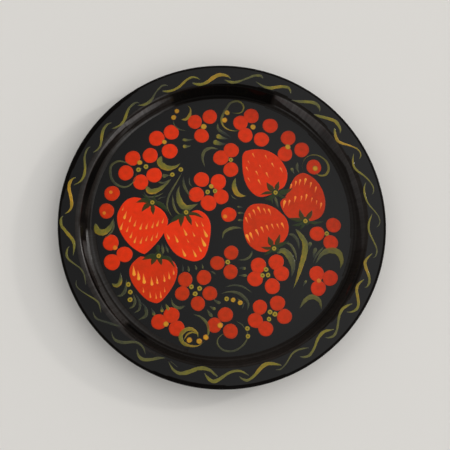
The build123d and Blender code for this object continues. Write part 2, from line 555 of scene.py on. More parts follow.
def light_at(turn, up):
    """How much light the wall or the level parts beside it get, and how much their gloss adds. The
    wall takes over at the foot bend, 1.2 to 2.8 mm up the section, and ends at the outer end of the
    shoulder bend, from 20.6 to 21.6 mm."""
    steep = np.clip(np.minimum((up - 1.2) / 1.6, 21.6 - up), 0, 1)
    level_part = np.interp(up, (0, 1.2, 20.6, 22.4), (0.56, 0.47, 0.55, 0.88))
    level_part = level_part - 0.10 * np.cos(np.radians(turn)) * (up < 10)
    wall_part = 0.44 + 0.46 * np.clip(np.cos(np.radians(turn - FACES_WINDOW)), 0, 1) ** 1.2
    gloss = 0.001 + 0.0035 * steep * np.clip(np.cos(np.radians(turn - FACES_ROOM)), 0, 1)
    return level_part + (wall_part - level_part) * steep, gloss


def as_light(look):
    """The light that a screen gives for a look between 0 and 1."""
    return ((look + 0.055) / 1.055) ** 2.4


print("light on floor, wall and flange:",
      [round(float(light_at(np.array(0.0), np.array(up))[0]), 2) for up in (0.0, 10.0, 24.0)])

# %% lay the painted reflections and shade on the pan
FIRST_RING, NO_STREAK, DARKEST = 121.0, 200.0, 0.0008
WALL_FROM, WALL_TO = 1.6, 21.9

steps = np.hypot(*np.diff(np.array(face), axis=0).T)
face_up = np.cumsum(steps) - FIRST_RING
section_up = np.concatenate([face_up, np.full(len(under), NO_STREAK)])[:len(face + under) - 2]
turn, up = np.tile(np.arange(TURNS) * 360 / TURNS, len(section_up)), np.repeat(section_up, TURNS)
look, _ = painted_light_at(turn, up)
lit, gloss = light_at(turn, up)
tones = np.clip((as_light(look) - gloss) / lit, DARKEST, 1)
# the painted reflections and shade go on the mesh as the tone of each point
pan.data.attributes.new("tone", "FLOAT", "POINT").data.foreach_set(
    "value", np.concatenate([[0], tones, [0]]).astype(np.float32))

# a face lies halfway between two rings of points; the fans round the axis have no streak
between = np.concatenate([[-NO_STREAK], (section_up[1:] + section_up[:-1]) / 2, [-NO_STREAK]])
turn, between = np.repeat((np.arange(TURNS) + 0.5) * 360 / TURNS, len(between)), np.tile(between, TURNS)
_, covered = painted_light_at(turn, between)
on_wall = ((between > WALL_FROM) & (between < WALL_TO)) | (covered > 0.5)
pan.data.polygons.foreach_set("material_index", on_wall.astype(np.int32))
print("rings", len(section_up), "faces of the wall lacquer", int(on_wall.sum()), "of", len(on_wall))

# %% [markdown]
# ## The wire
# The wire inside the hem can't be seen once the tray is made, but it is a piece of its own, and it
# shows when the assembly is taken apart. The CAD ring is round enough as it is, so it keeps its
# shape and only gets a material: drawn steel, with fine scratches and a little stain from the shop.

# %% the wire inside the hem
steel, g = material("wire_steel")
place = g.place()
drawn = g.noise(g.scaled(place, (1.0, 1.0, 6.0)), 700.0, 3.0)
stain = g.noise(place, 60.0, 4.0)
coat(g, g.blend(stain, (0.34, 0.33, 0.31), (0.20, 0.18, 0.16)), drawn * 0.25 + 0.25,
     g.bump(drawn, MM / 10), Metallic=1.0)
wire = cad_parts["edge_wire"]
wire.data.materials.clear()
wire.data.materials.append(steel)
print("wire nodes", len(steel.node_tree.nodes))

# %% [markdown]
# ## How a brush stroke is built
# Grass, sepals and the border are single strokes of a soft pointed brush. The brush touches down,
# is pressed until the hair spreads, and is lifted, so a stroke swells and thins along its way. Each
# one is a thin raised ribbon: a smooth line through a few points, a width that swells, and a low
# dome of paint across. At each point it carries three things for the material: how far along and
# across it is, how much paint the brush left there, and whether it lies on red.
#
# The pattern is drawn by eye, so it sits half a millimetre off the tray's centre.

# %% smooth lines, and where the pattern sits
rng = np.random.default_rng(7)
DRAWN_SIZE, OFF_CENTRE = 0.9965, (-0.55, 0.32)


def through(points, spacing, closed=False):
    """A smooth line through the points, with steps of about that length. Each stretch, from b to c,
    also looks at the points a and d beside it."""
    p = np.array(points, float)
    ends = (p[-1:], p[:1], p[1:2]) if closed else (2 * p[:1] - p[1:2], 2 * p[-1:] - p[-2:-1], p[:0])
    whole = np.vstack([ends[0], p, ends[1], ends[2]])
    line = []
    for k in range(len(whole) - 3):
        a, b, c, d = whole[k:k + 4]
        steps = max(2, int(math.dist(b, c) / spacing) + 1)
        t = (np.arange(steps) / steps)[:, None]
        line.append(0.5 * (2 * b + (c - a) * t + (2 * a - 5 * b + 4 * c - d) * t ** 2
                           + (3 * b - a - 3 * c + d) * t ** 3))
    return np.vstack(line + ([] if closed else [p[-1:]]))


def laid(points):
    """Where the pattern really sits: a hair smaller than drawn, and a little off the tray's centre."""
    return np.asarray(points, float) * DRAWN_SIZE + OFF_CENTRE


print("the middle of the pattern lies at", laid((0, 0)), "mm")

# %% which points lie on red
reds = []


def on_red(x, y):
    """1 where a point lies inside one of the red shapes, found by counting an outline's crossings."""
    found = np.zeros(x.shape, bool)
    for outline in reds:
        low, high = outline.min(0), outline.max(0)
        if x.max() < low[0] or x.min() > high[0] or y.max() < low[1] or y.min() > high[1]:
            continue
        (ax, ay), (bx, by) = outline.T, np.roll(outline, -1, 0).T
        level = y[..., None]
        at = ax + (level - ay) * (bx - ax) / np.where(by == ay, 1e-9, by - ay)
        found |= np.sum(((ay > level) != (by > level)) & (x[..., None] < at), -1) % 2 == 1
    return found.astype(float)


print("red shapes so far", len(reds))

# %% [markdown]
# ## Layers of paint
# All strokes of one paint are one piece, so a layer collects them and makes the piece at the end.
# Each layer has a lift, its height above the face, which decides what lies on what: the border and
# the reds lie lowest, then the seeds, the sepals and the grass, and the eyes on top. The edges of
# every stroke and dab are sunk a hair into the face, so that no gap shows under them.

# %% how wide a stroke is along its way
DROP, THINNEST = 0.32, 0.05


def half_width(line, share, width, belly):
    """Half the width at each share of the way. A belly near the start makes a drop, which has a
    round head and a straight tail; other strokes swell and thin evenly."""
    if width is None:
        half = line[:, 2] / 2
    elif belly < DROP:
        head = np.clip(share / belly, 0, 1)
        tail = np.clip((1 - share) / (1 - belly), 0, 1)
        half = width / 2 * (head * (2 - head)) ** 0.5 * tail ** 0.9
    else:
        half = width * np.sin(math.pi * share ** (math.log(0.5) / math.log(belly))) ** 0.9 / 2
    return np.maximum(np.nan_to_num(half), THINNEST)


print("half widths of a drop 2 mm wide:", half_width(None, np.linspace(0, 1, 5), 2.0, 0.2).round(2))

# %% a layer collects the strokes and dabs of one paint
ACROSS = np.array([-1.0, -0.86, -0.45, 0.0, 0.45, 0.86, 1.0])
SUNK, TOUCH, BESIDE = -0.02, 0.15, 3


class Layer:
    """The strokes and dabs of one paint, which end up as one piece."""

    def __init__(self, lift):
        self.lift, self.count = lift, 0
        self.points, self.faces, self.marks, self.loads, self.unders = [], [], [], [], []

    def rows(self, points, marks, loads, unders):
        """Rows of points, each row a closed loop, joined to the next; the ends are closed."""
        base, (n, m) = sum(map(len, self.points)), points.shape[:2]
        for k in range(n - 1):
            row, beyond = base + k * m, base + (k + 1) * m
            self.faces += [(row + j, row + (j + 1) % m, beyond + (j + 1) % m, beyond + j) for j in range(m)]
        self.faces.append(tuple(base + j for j in reversed(range(m))))
        self.faces.append(tuple(base + (n - 1) * m + j for j in range(m)))
        self.points.append(points.reshape(-1, 3))
        self.marks.append(marks.reshape(-1, 3))
        self.loads.append(np.broadcast_to(loads, (n, m)).reshape(-1))
        self.unders.append(np.broadcast_to(unders, (n, m)).reshape(-1))
        self.count += 1

    def stroke(self, points, width, loads, belly=0.4, lean=0.0, dome=0.035):
        """One brush stroke. Its width is either the widest, at the share belly of its way, or the
        third number of each point. The loads are the paint where it starts, halfway and where it
        ends; lean is how much more of it lies on the outer side of a bend."""
        line = through(points, 0.8)
        line[:, :2] = laid(line[:, :2])
        step = np.hypot(*np.diff(line[:, :2], axis=0).T)
        length = np.concatenate([[0], np.cumsum(step)])
        share = length / length[-1]
        begun, left = np.clip(share / TOUCH, 0, 1), np.clip((1 - share) / TOUCH, 0, 1)
        half = half_width(line, share, width, belly)
        along = np.gradient(line[:, :2], axis=0)
        along /= np.hypot(*along.T)[:, None]
        side = np.stack([along[:, 1], -along[:, 0]], 1)
        heading = np.unwrap(np.arctan2(along[:, 1], along[:, 0]))
        ahead = np.clip(length + BESIDE, 0, length[-1])
        behind = np.clip(length - BESIDE, 0, length[-1])
        turning = (np.interp(ahead, length, heading) - np.interp(behind, length, heading)) / (ahead - behind)
        seed = float(rng.uniform(0, 50))
        wander = 1 + 0.05 * np.sin(length * 0.9 + seed) + 0.03 * np.sin(length * 2.3 + 2 * seed)
        flat = line[:, None, :2] + side[:, None] * (half * wander)[:, None, None] * ACROSS[None, :, None]
        dome_here = dome * np.clip(half / 0.9, 0.35, 1)[:, None] * (1 - ACROSS ** 2)[None] ** 0.5
        z = lie(flat[..., 0], flat[..., 1]) + np.where(abs(ACROSS) > 0.99, SUNK, self.lift + dome_here)
        marks = np.stack([np.repeat(length[:, None], len(ACROSS), 1), np.tile(ACROSS, (len(line), 1)),
                          np.full(z.shape, seed)], 2)
        fading = 1 - 0.3 * (1 - begun) ** 2 - 0.3 * (1 - left) ** 2
        paint = np.interp(share, (0.2, 0.5, 0.8), loads) * fading
        outer = np.tanh(turning * 10)[:, None] * ACROSS
        self.rows(np.dstack([flat, z]), marks, paint[:, None] * (1 + lean * outer),
                  on_red(flat[..., 0], flat[..., 1]))

    def dab(self, outline, centre, lifts, load, unit):
        """A filled shape: rings from the outline in to its centre, each at its own height. Its marks
        count the way from the centre in units of that length."""
        outline, centre = laid(outline), laid(centre)
        seed = float(rng.uniform(0, 50))
        rings, marks = [], []
        for share, lift in lifts:
            ring = centre + (outline - centre) * share
            z = lie(ring[:, 0], ring[:, 1]) + (SUNK if lift == SUNK else self.lift + lift)
            rings.append(np.column_stack([ring, z]))
            marks.append(np.column_stack([(ring - centre) / unit, np.full(len(ring), seed)]))
        self.rows(np.array(rings), np.array(marks), np.array([[load]]), on_red(*centre[:, None])[:, None])

    def piece(self, name, paint):
        made = mesh_object(name, np.vstack(self.points), self.faces, mark=np.vstack(self.marks),
                           load=np.concatenate(self.loads), under=np.concatenate(self.unders))
        made.data.materials.append(paint)
        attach(made, "root")
        print(name, self.count, "strokes or dabs,", len(self.faces), "faces")
        return made


print("paint layers ready")

# %% [markdown]
# ## Thin paint and thick paint
# The grass isn't one green. Where the brush leaves a lot of paint the stroke is a warm olive gold,
# and where it runs dry the black ground shows through and the stroke sinks to a grey green. A real
# brush also drives paint to the stroke's edges and leaves streaks of its hairs. So the material
# starts from one number, the amount of paint, changes it by the streaks and the edges, and only
# then looks up a colour. There are two rows of colours, because where thin paint crosses a berry
# it's red that shows through, not black.

# %% paint laid by a brush: olive for the grass and the border, green for the sepals
def brushed(name, stops, stops_on_red, streaks=0.36, edges=0.06):
    """Paint laid by a brush: its amount decides the colour along a ramp, one for each ground."""
    paint, g = material(name)
    mark, load = g.attribute("mark", "Vector"), g.attribute("load")
    parts = g.node("ShaderNodeSeparateXYZ", {}, {0: mark})
    across = parts.other(1)
    hairs = g.noise(g.scaled(mark, (0.16, 2.6, 1.0)), 1.6, 3.0, 0.6)
    mottle = g.noise(g.place(), 420.0, 3.0)
    edge = abs(across) ** 3.0
    amount = load + (hairs - 0.5) * streaks + (mottle - 0.5) * 0.22 + (edge - 0.35) * edges
    amount = amount.clamped()
    relief = hairs * 0.05 + edge * 0.02
    colour = g.blend(g.attribute("under"), g.ramp(amount, *stops), g.ramp(amount, *stops_on_red))
    coat(g, colour, mottle * 0.08 + 0.12, g.bump(relief))
    return paint


olive = brushed("leaf_olive",
                [(0.0, (0.007, 0.008, 0.008)), (0.22, (0.024, 0.029, 0.022)), (0.45, (0.082, 0.082, 0.029)),
                 (0.66, (0.172, 0.153, 0.017)), (0.84, (0.36, 0.200, 0.014)), (1.0, (0.62, 0.36, 0.034))],
                [(0.0, (0.42, 0.020, 0.002)), (0.30, (0.22, 0.036, 0.005)), (0.50, (0.17, 0.060, 0.008)),
                 (0.70, (0.21, 0.130, 0.012)), (0.84, (0.36, 0.200, 0.012)), (1.0, (0.62, 0.36, 0.030))])
green = brushed("sepal_green",
                [(0.0, (0.010, 0.012, 0.003)), (0.35, (0.013, 0.021, 0.004)), (0.65, (0.020, 0.034, 0.006)),
                 (1.0, (0.070, 0.085, 0.018))],
                [(0.0, (0.20, 0.018, 0.001)), (0.35, (0.082, 0.022, 0.001)), (0.65, (0.036, 0.031, 0.001)),
                 (1.0, (0.090, 0.090, 0.012))], streaks=0.5, edges=-0.1)
print([(paint.name, len(paint.node_tree.nodes)) for paint in (olive, green)], "nodes")

# %% [markdown]
# ## Berries
# Rowan berries are dabbed, not drawn. The painter presses a round pad dipped in red lead paint on
# the ground, which leaves a disc with a soft smudge in it and a thin edge. No two discs are the
# same, so each gets its own slightly uneven outline and its own seed. The red also changes from
# spray to spray: a little as the pad is pressed and loaded, and more as painted shade, which makes
# the sprays darker on the right and towards the near side.

# %% red paint
REDS = [(0.0, (0.24, 0.023, 0.003)), (0.4, (0.48, 0.029, 0.0019)), (0.75, (0.70, 0.031, 0.0016)),
        (1.0, (0.86, 0.034, 0.0016))]


def red_paint(name, dabbed=0.0):
    """Opaque red: its tone, with painted shade, is set for each shape, and clouds a little within it.
    A dabbed round is also darker in its middle and along its edge."""
    paint, g = material(name)
    mark, tone = g.attribute("mark", "Vector"), g.attribute("load")
    cloud = g.noise(mark, 1.5, 3.0)
    grain = g.noise(g.place(), 260.0, 4.0)
    reach = g.reach(mark)
    middle, edge = 1.0 - g.step(reach, 0.05, 0.48), g.step(reach, 0.70, 0.95)
    body = tone + (cloud - 0.5) * 0.42 + (grain - 0.5) * 0.38
    body = body - (middle * cloud * 0.20 + edge * 0.13) * dabbed
    coat(g, g.ramp(body.clamped(), *REDS), grain * 0.10 + 0.11,
         g.bump(grain * 0.03 + cloud * 0.02), **{"Specular IOR Level": 0.36})
    return paint


berry_red = red_paint("berry_red", 1.0)
strawberry_red = red_paint("strawberry_red")
print([(paint.name, len(paint.node_tree.nodes)) for paint in (berry_red, strawberry_red)], "nodes")

# %% rowan berries: each spray's red, darker by painted shade, how large its berries are, and where they lie
ROWAN = [
    (0.67, 0.97, [(-12.2, 104.2), (-26.5, 98.9), (-20, 85.1)]),
    (0.82, 1.02, [(-62.9, 82), (-49, 88.1), (-50.3, 69.5)]),
    (0.81, 1.00, [(-85.2, 62.2), (-68.7, 65), (-91.3, 47.8), (-64.6, 45.9), (-77.1, 38.9)]),
    (0.64, 0.99, [(-103.7, 27.9)]), (0.59, 0.97, [(-108.3, 11)]), (0.68, 0.97, [(6, 8.4)]),
    (0.62, 0.98, [(87.7, 55.4)]), (0.80, 1.03, [(-103.6, -18.8), (-90.6, -29.7), (-102, -37)]),
    (0.71, 1.01, [(28, 105.6), (17.5, 98.4), (22.1, 86.2), (37.5, 82.2), (46.2, 96)]),
    (0.62, 1.00, [(63.5, 83.9), (76.3, 72.3), (60.1, 68)]),
    (0.65, 1.00, [(8.5, 71), (-1.4, 63.5), (8, 52)]),
    (0.75, 1.01, [(-19.7, 42), (-3.8, 39.9), (-24.6, 27.5), (-1.2, 25.6), (-13, 19.3)]),
    (0.40, 0.92, [(8.3, -27.7), (-4.6, -37.4), (7.6, -45.5)]),
    (0.42, 0.93, [(-34.3, -52.8), (-17, -50.9), (-36.9, -65.6), (-11.5, -65.5), (-22.4, -74.9)]),
    (0.62, 0.99, [(-57.7, -91.5), (-46.5, -85.4), (-41.6, -97.4)]),
    (0.44, 0.95, [(2.8, -85), (-7.2, -94.5), (7.5, -100)]),
    (0.60, 0.99, [(33.6, -39.5), (50.3, -36.3), (30.5, -51.9), (55, -46.8), (46.4, -58.8)]),
    (0.54, 0.95, [(34.7, -78.1), (51, -74.4), (30.4, -90.2), (57.3, -86.6), (39.8, -97.7)]),
    (0.57, 0.98, [(105.1, -1), (89.4, -9.2), (102, -17.5)]),
    (0.69, 0.98, [(88.1, -47), (100.7, -51), (89.3, -60.5)])]
BERRY_R = 7.3
# the rings of a dab: each one's share of the outline, and its height in millimetres over the lift
PAD = [(1.0, SUNK), (0.97, 0.016), (0.88, 0.030), (0.68, 0.026), (0.42, 0.022), (0.18, 0.020)]


def uneven(centre, radius, wobble=0.022, sides=44):
    """A hand-made round: a circle with a few slow bulges."""
    a = np.arange(sides) * 2 * math.pi / sides
    phase = rng.uniform(0, 6.28, 3)
    r = radius * (1 + wobble * (np.sin(2 * a + phase[0]) + 0.6 * np.sin(3 * a + phase[1])
                                + 0.35 * np.sin(5 * a + phase[2])))
    return np.column_stack([centre[0] + r * np.cos(a), centre[1] + r * np.sin(a)])


rowan = Layer(0.030)
for tone, large, spray in ROWAN:
    for centre in spray:
        size = BERRY_R * large * rng.uniform(0.98, 1.02)
        outline = uneven(centre, size)
        rowan.dab(outline, centre, PAD, tone + rng.uniform(-0.03, 0.03), size)
        reds.append(laid(outline))
rowan.piece("rowan_berries", berry_red)

# %% [markdown]
# ## Strawberries
# The six strawberries are the heart of the pattern. Each is one flat, opaque shape with a broad
# shoulder and a blunt point, so its outline does all the work: a closed smooth line through a few
# points. The filled shape is built of rings that shrink towards the middle, which gives it a
# rounded edge of paint that catches the light.

# %% strawberry outlines
FRUIT = {
    1: [(-74, -29), (-84, -23), (-92, -14), (-97, -4), (-98.5, 6), (-96, 14), (-91, 21), (-84, 24.3),
        (-77, 23.5), (-70, 20), (-62, 16), (-55, 11), (-51, 3), (-52, -4), (-56, -12), (-62, -20),
        (-70, -28)],
    2: [(-34, 8), (-25, 12.5), (-18, 10.5), (-13, 5), (-10.8, -3), (-11.5, -14), (-14, -26),
        (-18, -33), (-25, -36), (-33, -34.5), (-43, -29.5), (-50, -21), (-54.5, -11), (-53, -4),
        (-47, 1), (-41, 4)],
    3: [(-59, -34), (-48, -34.5), (-43, -39), (-41.5, -46), (-44, -56), (-50, -66), (-57, -73.5),
        (-62, -74.5), (-70, -71), (-78, -63), (-84, -54), (-86, -45), (-84, -39), (-80, -34.5),
        (-75, -31.5), (-68, -33.5)],
    4: [(24, 71), (32, 72.5), (42, 71.5), (51, 67), (57.5, 60), (61.5, 52), (62, 44), (59, 36),
        (54, 32.5), (48, 29), (42, 26.5), (36, 25.5), (30, 28), (24, 35), (20.5, 44), (19, 55),
        (19, 65), (21, 69.5)],
    5: [(76.5, 49.5), (83, 47.5), (90, 42), (95.5, 33), (98, 22), (96.5, 12), (92, 6), (85, 3),
        (78, 3), (70, 4), (63, 5.5), (58, 11), (55, 18), (55.5, 22), (60, 26.5), (63, 33), (66, 40),
        (70, 46)],
    6: [(33, 19.2), (42, 18.5), (50, 15), (56, 10), (60.5, 5), (62.5, -2), (62, -9), (59, -15),
        (54, -19.5), (48.5, -21), (44, -26), (38, -27), (31, -25), (24, -19), (20.5, -10), (19.5, 0),
        (21, 10), (26, 17)]}
print("strawberries", len(FRUIT))

# %% paint the strawberries
BODY = [(1.0, SUNK), (0.985, 0.012), (0.95, 0.026), (0.86, 0.030), (0.62, 0.026), (0.35, 0.024),
        (0.1, 0.024)]
# each strawberry's red, darker by painted shade on the right and at the near side
SHADED_TONE = {1: 0.88, 2: 0.87, 3: 0.62, 4: 0.69, 5: 0.48, 6: 0.54}
CLOUD_SIZE = 22.0
for number, outline in FRUIT.items():
    fruit = Layer(0.018)
    line = through(outline, 1.2, closed=True)
    area = 0.5 * float(np.sum(line[:, 0] * np.roll(line[:, 1], -1) - line[:, 1] * np.roll(line[:, 0], -1)))
    line = line if area > 0 else line[::-1]
    fruit.dab(line, line.mean(0), BODY, SHADED_TONE[number], CLOUD_SIZE)
    fruit.piece(f"strawberry_{number}", strawberry_red)
    reds.append(laid(line))
    print("  painted area", round(abs(area)), "mm2")

# %% [markdown]
# ## Sepals
# Each strawberry wears a few green leaves, fanned out from a knob. One is a single touch of the
# brush, given by three points and its greatest width. The knob is a dab of the same green, and it
# gets a yellow eye later.

# %% green sepals, and the knob where they meet
SEPALS = [
    ((-67, 20.5), (-74, 21.5), (-81, 19.3), 5.2), ((-68, 18.5), (-72.5, 15), (-75.7, 10.6), 5.2),
    ((-65.5, 17.5), (-65.2, 12.5), (-64.8, 7.6), 4.6), ((-63, 20), (-56.5, 16.5), (-51, 10), 4.6),
    ((-68, 22), (-72, 24.5), (-76, 27.5), 2.2), ((-65, 22), (-64, 25), (-62.5, 28), 2.2),
    ((-37, 8.5), (-43.5, 4.5), (-50.3, -0.8), 4.6), ((-36.5, 8), (-38.5, 3.5), (-38.8, -3.8), 5.2),
    ((-33.5, 8), (-31, 3.5), (-28.6, -2.0), 4.6), ((-32.5, 9), (-25, 8.7), (-17.5, 4.6), 3.6),
    ((-60.5, -31), (-67.5, -31.8), (-74.5, -34.8), 5.0), ((-61.5, -32.5), (-64, -35.5), (-65.6, -39.5), 5.0),
    ((-58.8, -33), (-57.3, -36), (-56.4, -39.7), 4.6), ((-57.5, -32), (-49.5, -33.8), (-43.8, -42), 3.8),
    ((49, 32), (45.2, 35), (42.2, 40), 6.0), ((51, 32), (52.2, 36), (53.8, 41.2), 4.8),
    ((53, 30), (60, 30.8), (67, 34.5), 5.4), ((47.5, 30), (41.5, 29.6), (36, 27.8), 3.4),
    ((50, 28), (45, 24.5), (39.5, 23.2), 4.6), ((53, 28), (57, 25.5), (61, 25), 3.0),
    ((77, 4), (74.4, 8.5), (73.2, 14.2), 5.0), ((80, 5), (83, 9), (85.3, 13.4), 5.0),
    ((76, 3.4), (69, 4.2), (62.3, 5.4), 4.4), ((81, 2), (88, 1), (96, 2.5), 3.0),
    ((76, 1), (71, -1), (65, -1.5), 3.0), ((77.5, 0.5), (75.5, -2.5), (73, -5), 3.0),
    ((47, -21), (45, -17), (43, -12), 5.6), ((50, -21), (52.4, -15.5), (54.3, -9.8), 4.6),
    ((46.5, -23), (41.5, -23.3), (36, -22.2), 3.4), ((51, -22), (56, -19.2), (62.5, -17), 4.0),
    ((46.5, -25), (42.5, -27.5), (38.5, -30), 3.4), ((51, -25.5), (55, -26), (60, -25), 3.0),
    ((-59.8, -20.5), (-60, -24), (-60, -28.5), 4.2), ((46.3, 25), (47, 21.5), (48, 18), 1.6)]
KNOBS = [(-65.8, 19.5), (-34, 10.3), (-59, -31), (50.5, 30), (78.5, 2.8), (48.5, -23.5)]
KNOB_R = 4.0
sepals = Layer(0.058)
for *path, width in SEPALS:
    sepals.stroke(path, width, (0.56, 0.56, 0.42), 0.34)
for centre in KNOBS:
    sepals.dab(uneven(centre, KNOB_R, 0.06), centre, PAD, 0.5, KNOB_R)
sepals.piece("strawberry_sepals", green)

# %% [markdown]
# ## Gold seeds and eyes
# The last paint on is yellow. Each seed is a drop: the brush touches down, leaves its load, and is
# drawn away to a hair. Over red the thin end turns orange. On one strawberry all seeds point the
# same way, so a seed needs only its place and its size, and each strawberry has the way its seeds
# point, as an arrow of length one, and how drawn out they are.
#
# The little round eyes between the berries are made with the end of the brush, which leaves a ring
# with a dark middle. In the golden ones the brush left more, and fills the ring.

# %% seeds
SEED_WAY = {1: (0.30, 0.95, 1.25), 2: (-0.42, 0.91, 1.3), 3: (-0.12, 0.99, 1.35), 4: (0.45, -0.89, 1.05),
            5: (-0.22, -0.97, 1.15), 6: (0.40, -0.92, 1.2)}
SEEDS = {
    1: [(-93.5, 12, 0.6), (-91.5, 5, 1.5), (-86.5, 1.5, 1.0), (-82, -2.5, 1.1), (-76.5, -5.4, 1.2),
        (-71, -5, 1.1), (-65.5, -4, 1.0), (-61, -2.3, 1.2), (-56, 0.5, 0.9), (-94.5, -5.5, 1.4),
        (-89, -8, 0.9), (-85.5, -13.5, 1.1), (-81.5, -18, 1.2), (-76, -18.7, 1.1), (-71, -16.5, 0.9),
        (-66, -16, 1.0), (-61.5, -13.5, 0.9)],
    2: [(-50, -14.5, 1.0), (-42, -17, 1.4), (-34, -10.5, 1.4), (-26, -12, 0.8), (-23.5, -2.5, 0.9),
        (-18, -2.5, 0.7), (-15, -11.5, 1.7), (-16.7, -20, 1.9), (-35, -30, 1.5), (-25, -30.5, 1.4),
        (-20, -26, 1.0), (-31.5, -18, 0.5)],
    3: [(-81.5, -47.5, 1.9), (-77.2, -51.7, 1.8), (-72, -54.8, 1.8), (-65, -57, 1.5), (-59.8, -55.8, 1.2),
        (-53.5, -54, 1.1), (-49, -51.5, 1.1), (-45, -47.7, 0.8), (-72.5, -64.5, 0.7), (-66, -69, 0.9),
        (-60.8, -70, 0.8), (-56.5, -69, 1.0), (-53, -64, 0.6)],
    4: [(29.2, 67.5, 1.0), (41.2, 65.8, 0.8), (24.8, 60.5, 0.6), (47.6, 58, 1.1), (55.6, 53.5, 1.1),
        (23, 54, 1.0), (32.3, 50, 1.1), (42.3, 48.5, 1.2), (24.7, 43.5, 0.8), (34.6, 41.5, 1.2),
        (35.8, 56.5, 0.6)],
    5: [(65.8, 37.5, 1.1), (70, 40.5, 1.1), (74.3, 42, 1.2), (79.4, 42.8, 1.5), (84.6, 39.3, 1.1),
        (89.3, 35, 1.2), (59, 20.8, 1.7), (63.7, 22, 1.1), (69.2, 25.5, 1.3), (75.2, 26.3, 1.0),
        (80, 27.5, 1.3), (85.2, 24.8, 0.8), (89.7, 22.2, 0.7), (93.8, 19.5, 1.2)],
    6: [(22.3, 5, 1.1), (25.5, 9, 1.0), (29.3, 12.3, 1.1), (34, 15, 1.3), (39.3, 13.8, 1.0),
        (43.8, 13.2, 1.2), (23.3, -12.2, 1.9), (26.6, -10, 1.6), (32, -6.8, 1.4), (36.8, -4, 1.2),
        (41.8, -2.3, 1.1), (46.8, -1, 1.0), (51.8, -0.7, 0.9), (56.2, -0.2, 1.3)]}
drops = [(0.0, (0.58, 0.034, 0.005)), (0.35, (0.70, 0.062, 0.010)), (0.60, (0.80, 0.115, 0.016)),
         (0.80, (0.88, 0.225, 0.018)), (1.0, (0.92, 0.37, 0.026))]
gold = brushed("seed_gold", drops, drops, streaks=0.25, edges=-0.55)
seeds = Layer(0.052)
for number, row in SEEDS.items():
    way, drawn_out = np.array(SEED_WAY[number][:2]), SEED_WAY[number][2]
    for x, y, size in row:
        # the round head reaches back a little from the seed's place, and the thin tail far ahead
        head = np.array((x, y)) - way * (0.9 + 0.3 * drawn_out) * size
        tail = np.array((x, y)) + way * 4.4 * drawn_out * size ** 0.5
        bend = (head + tail) / 2 + np.array((-way[1], way[0])) * rng.uniform(-0.25, 0.25)
        # the seeds of strawberries 4 to 6, on the right, get less paint, as painted shade
        load = 0.52 + 0.17 * size - (0.06 if number > 3 else 0)
        seeds.stroke([head, bend, tail], (1.35 * size + 0.35) * drawn_out,
                     (load, load * 0.88, load * 0.7), 0.20, dome=0.06)
seeds.piece("strawberry_seeds", gold)

# %% the round eyes: where the rings lie, and place, size and load of the golden ones
RING_R = 2.4
RINGS = [
    (-72.5, 54), (-79.5, 51), (8, 61.5), (-7, 31), (-14, 30), (5, -36.5), (-28.5, -59.5), (-21, -61),
    (-25, -66), (40.7, -43.2), (37.4, -48.8), (42.5, -48.5), (44, -82.5), (48.5, -84.5), (43, -89),
    (98.5, -9), (-47.5, 46.5), (-39.5, 51.5), (-86.5, -57.5), (-84.5, -64.5), (-84.5, -71.5), (23, -97.5),
    (23.5, -104.5), (4, -70.5)] + KNOBS
GOLDEN = [
    (-55.5, 78.5, 2.5, 0.8), (-78.5, 58, 2.5, 0.7), (-99.5, -23.5, 2.3, 0.9), (-10.5, 35.5, 2.5, 0.6),
    (90, -53.5, 2.3, 0.8), (-44, 109.5, 2.5, 0.8), (-47, 103, 2.5, 0.7), (4.5, 108.5, 2.6, 0.5),
    (2, 101, 2.6, 0.9), (-30, -108, 2.6, 0.7), (-21, -109, 2.6, 0.7), (-15, -105.5, 2.6, 1.0),
    (10, -71.5, 2.4, 0.5), (16.5, -74, 2.4, 0.5), (-105, 29, 1.9, 0.9), (-110.5, 9, 2.0, 0.9),
    (2.5, 6.5, 2.4, 1.0), (89, 54, 2.8, 1.5), (-18, 94.2, 2.8, 0.7), (29.5, 94.5, 2.8, 0.7),
    (63, 75, 2.8, 0.9), (-51.5, -93.5, 2.8, 1.4), (-2, -94.7, 2.8, 1.4)]
EYE = [(1.0, SUNK), (0.9, 0.014), (0.7, 0.030), (0.5, 0.030), (0.34, 0.012), (0.15, 0.006)]
print("rings", len(RINGS), "golden eyes", len(GOLDEN))


# %% paint the eyes
def eye_paint():
    """A ring of yellow with a dark middle. Load 1 fills it with gold that red shows through, and a
    thicker load covers the red as well."""
    paint, g = material("eye_yellow")
    mark, full, under = g.attribute("mark", "Vector"), g.attribute("load"), g.attribute("under")
    grain = g.noise(mark, 1.7, 3.0)
    reach = (g.reach(mark) + (grain - 0.5) * 0.3).clamped()
    ring = g.ramp(reach, (0.10, (0.085, 0.055, 0.002)), (0.38, (0.24, 0.17, 0.008)),
                  (0.58, (0.42, 0.30, 0.025)), (0.80, (0.27, 0.19, 0.015)), (1.0, (0.05, 0.04, 0.008)))
    solid = g.ramp(reach, (0.0, (0.62, 0.31, 0.008)), (0.55, (0.60, 0.29, 0.012)),
                   (0.85, (0.42, 0.16, 0.010)), (1.0, (0.20, 0.05, 0.004)))
    mixed = g.blend(full, ring, solid)
    thin = (3.0 - full * 2.0).clamped()
    coat(g, g.blend(under * thin * 0.45, mixed, (0.86, 0.065, 0.002)), grain * 0.1 + 0.12,
         g.bump(grain * 0.03))
    return paint


eyes = Layer(0.078)
yellow = eye_paint()
for x, y, size, full in [(*centre, RING_R, 0.0) for centre in RINGS] + GOLDEN:
    size = size * rng.uniform(0.95, 1.05)
    eyes.dab(uneven((x, y), size, 0.05, 26), (x, y), EYE, full, size)
eyes.piece("berry_eyes", yellow)

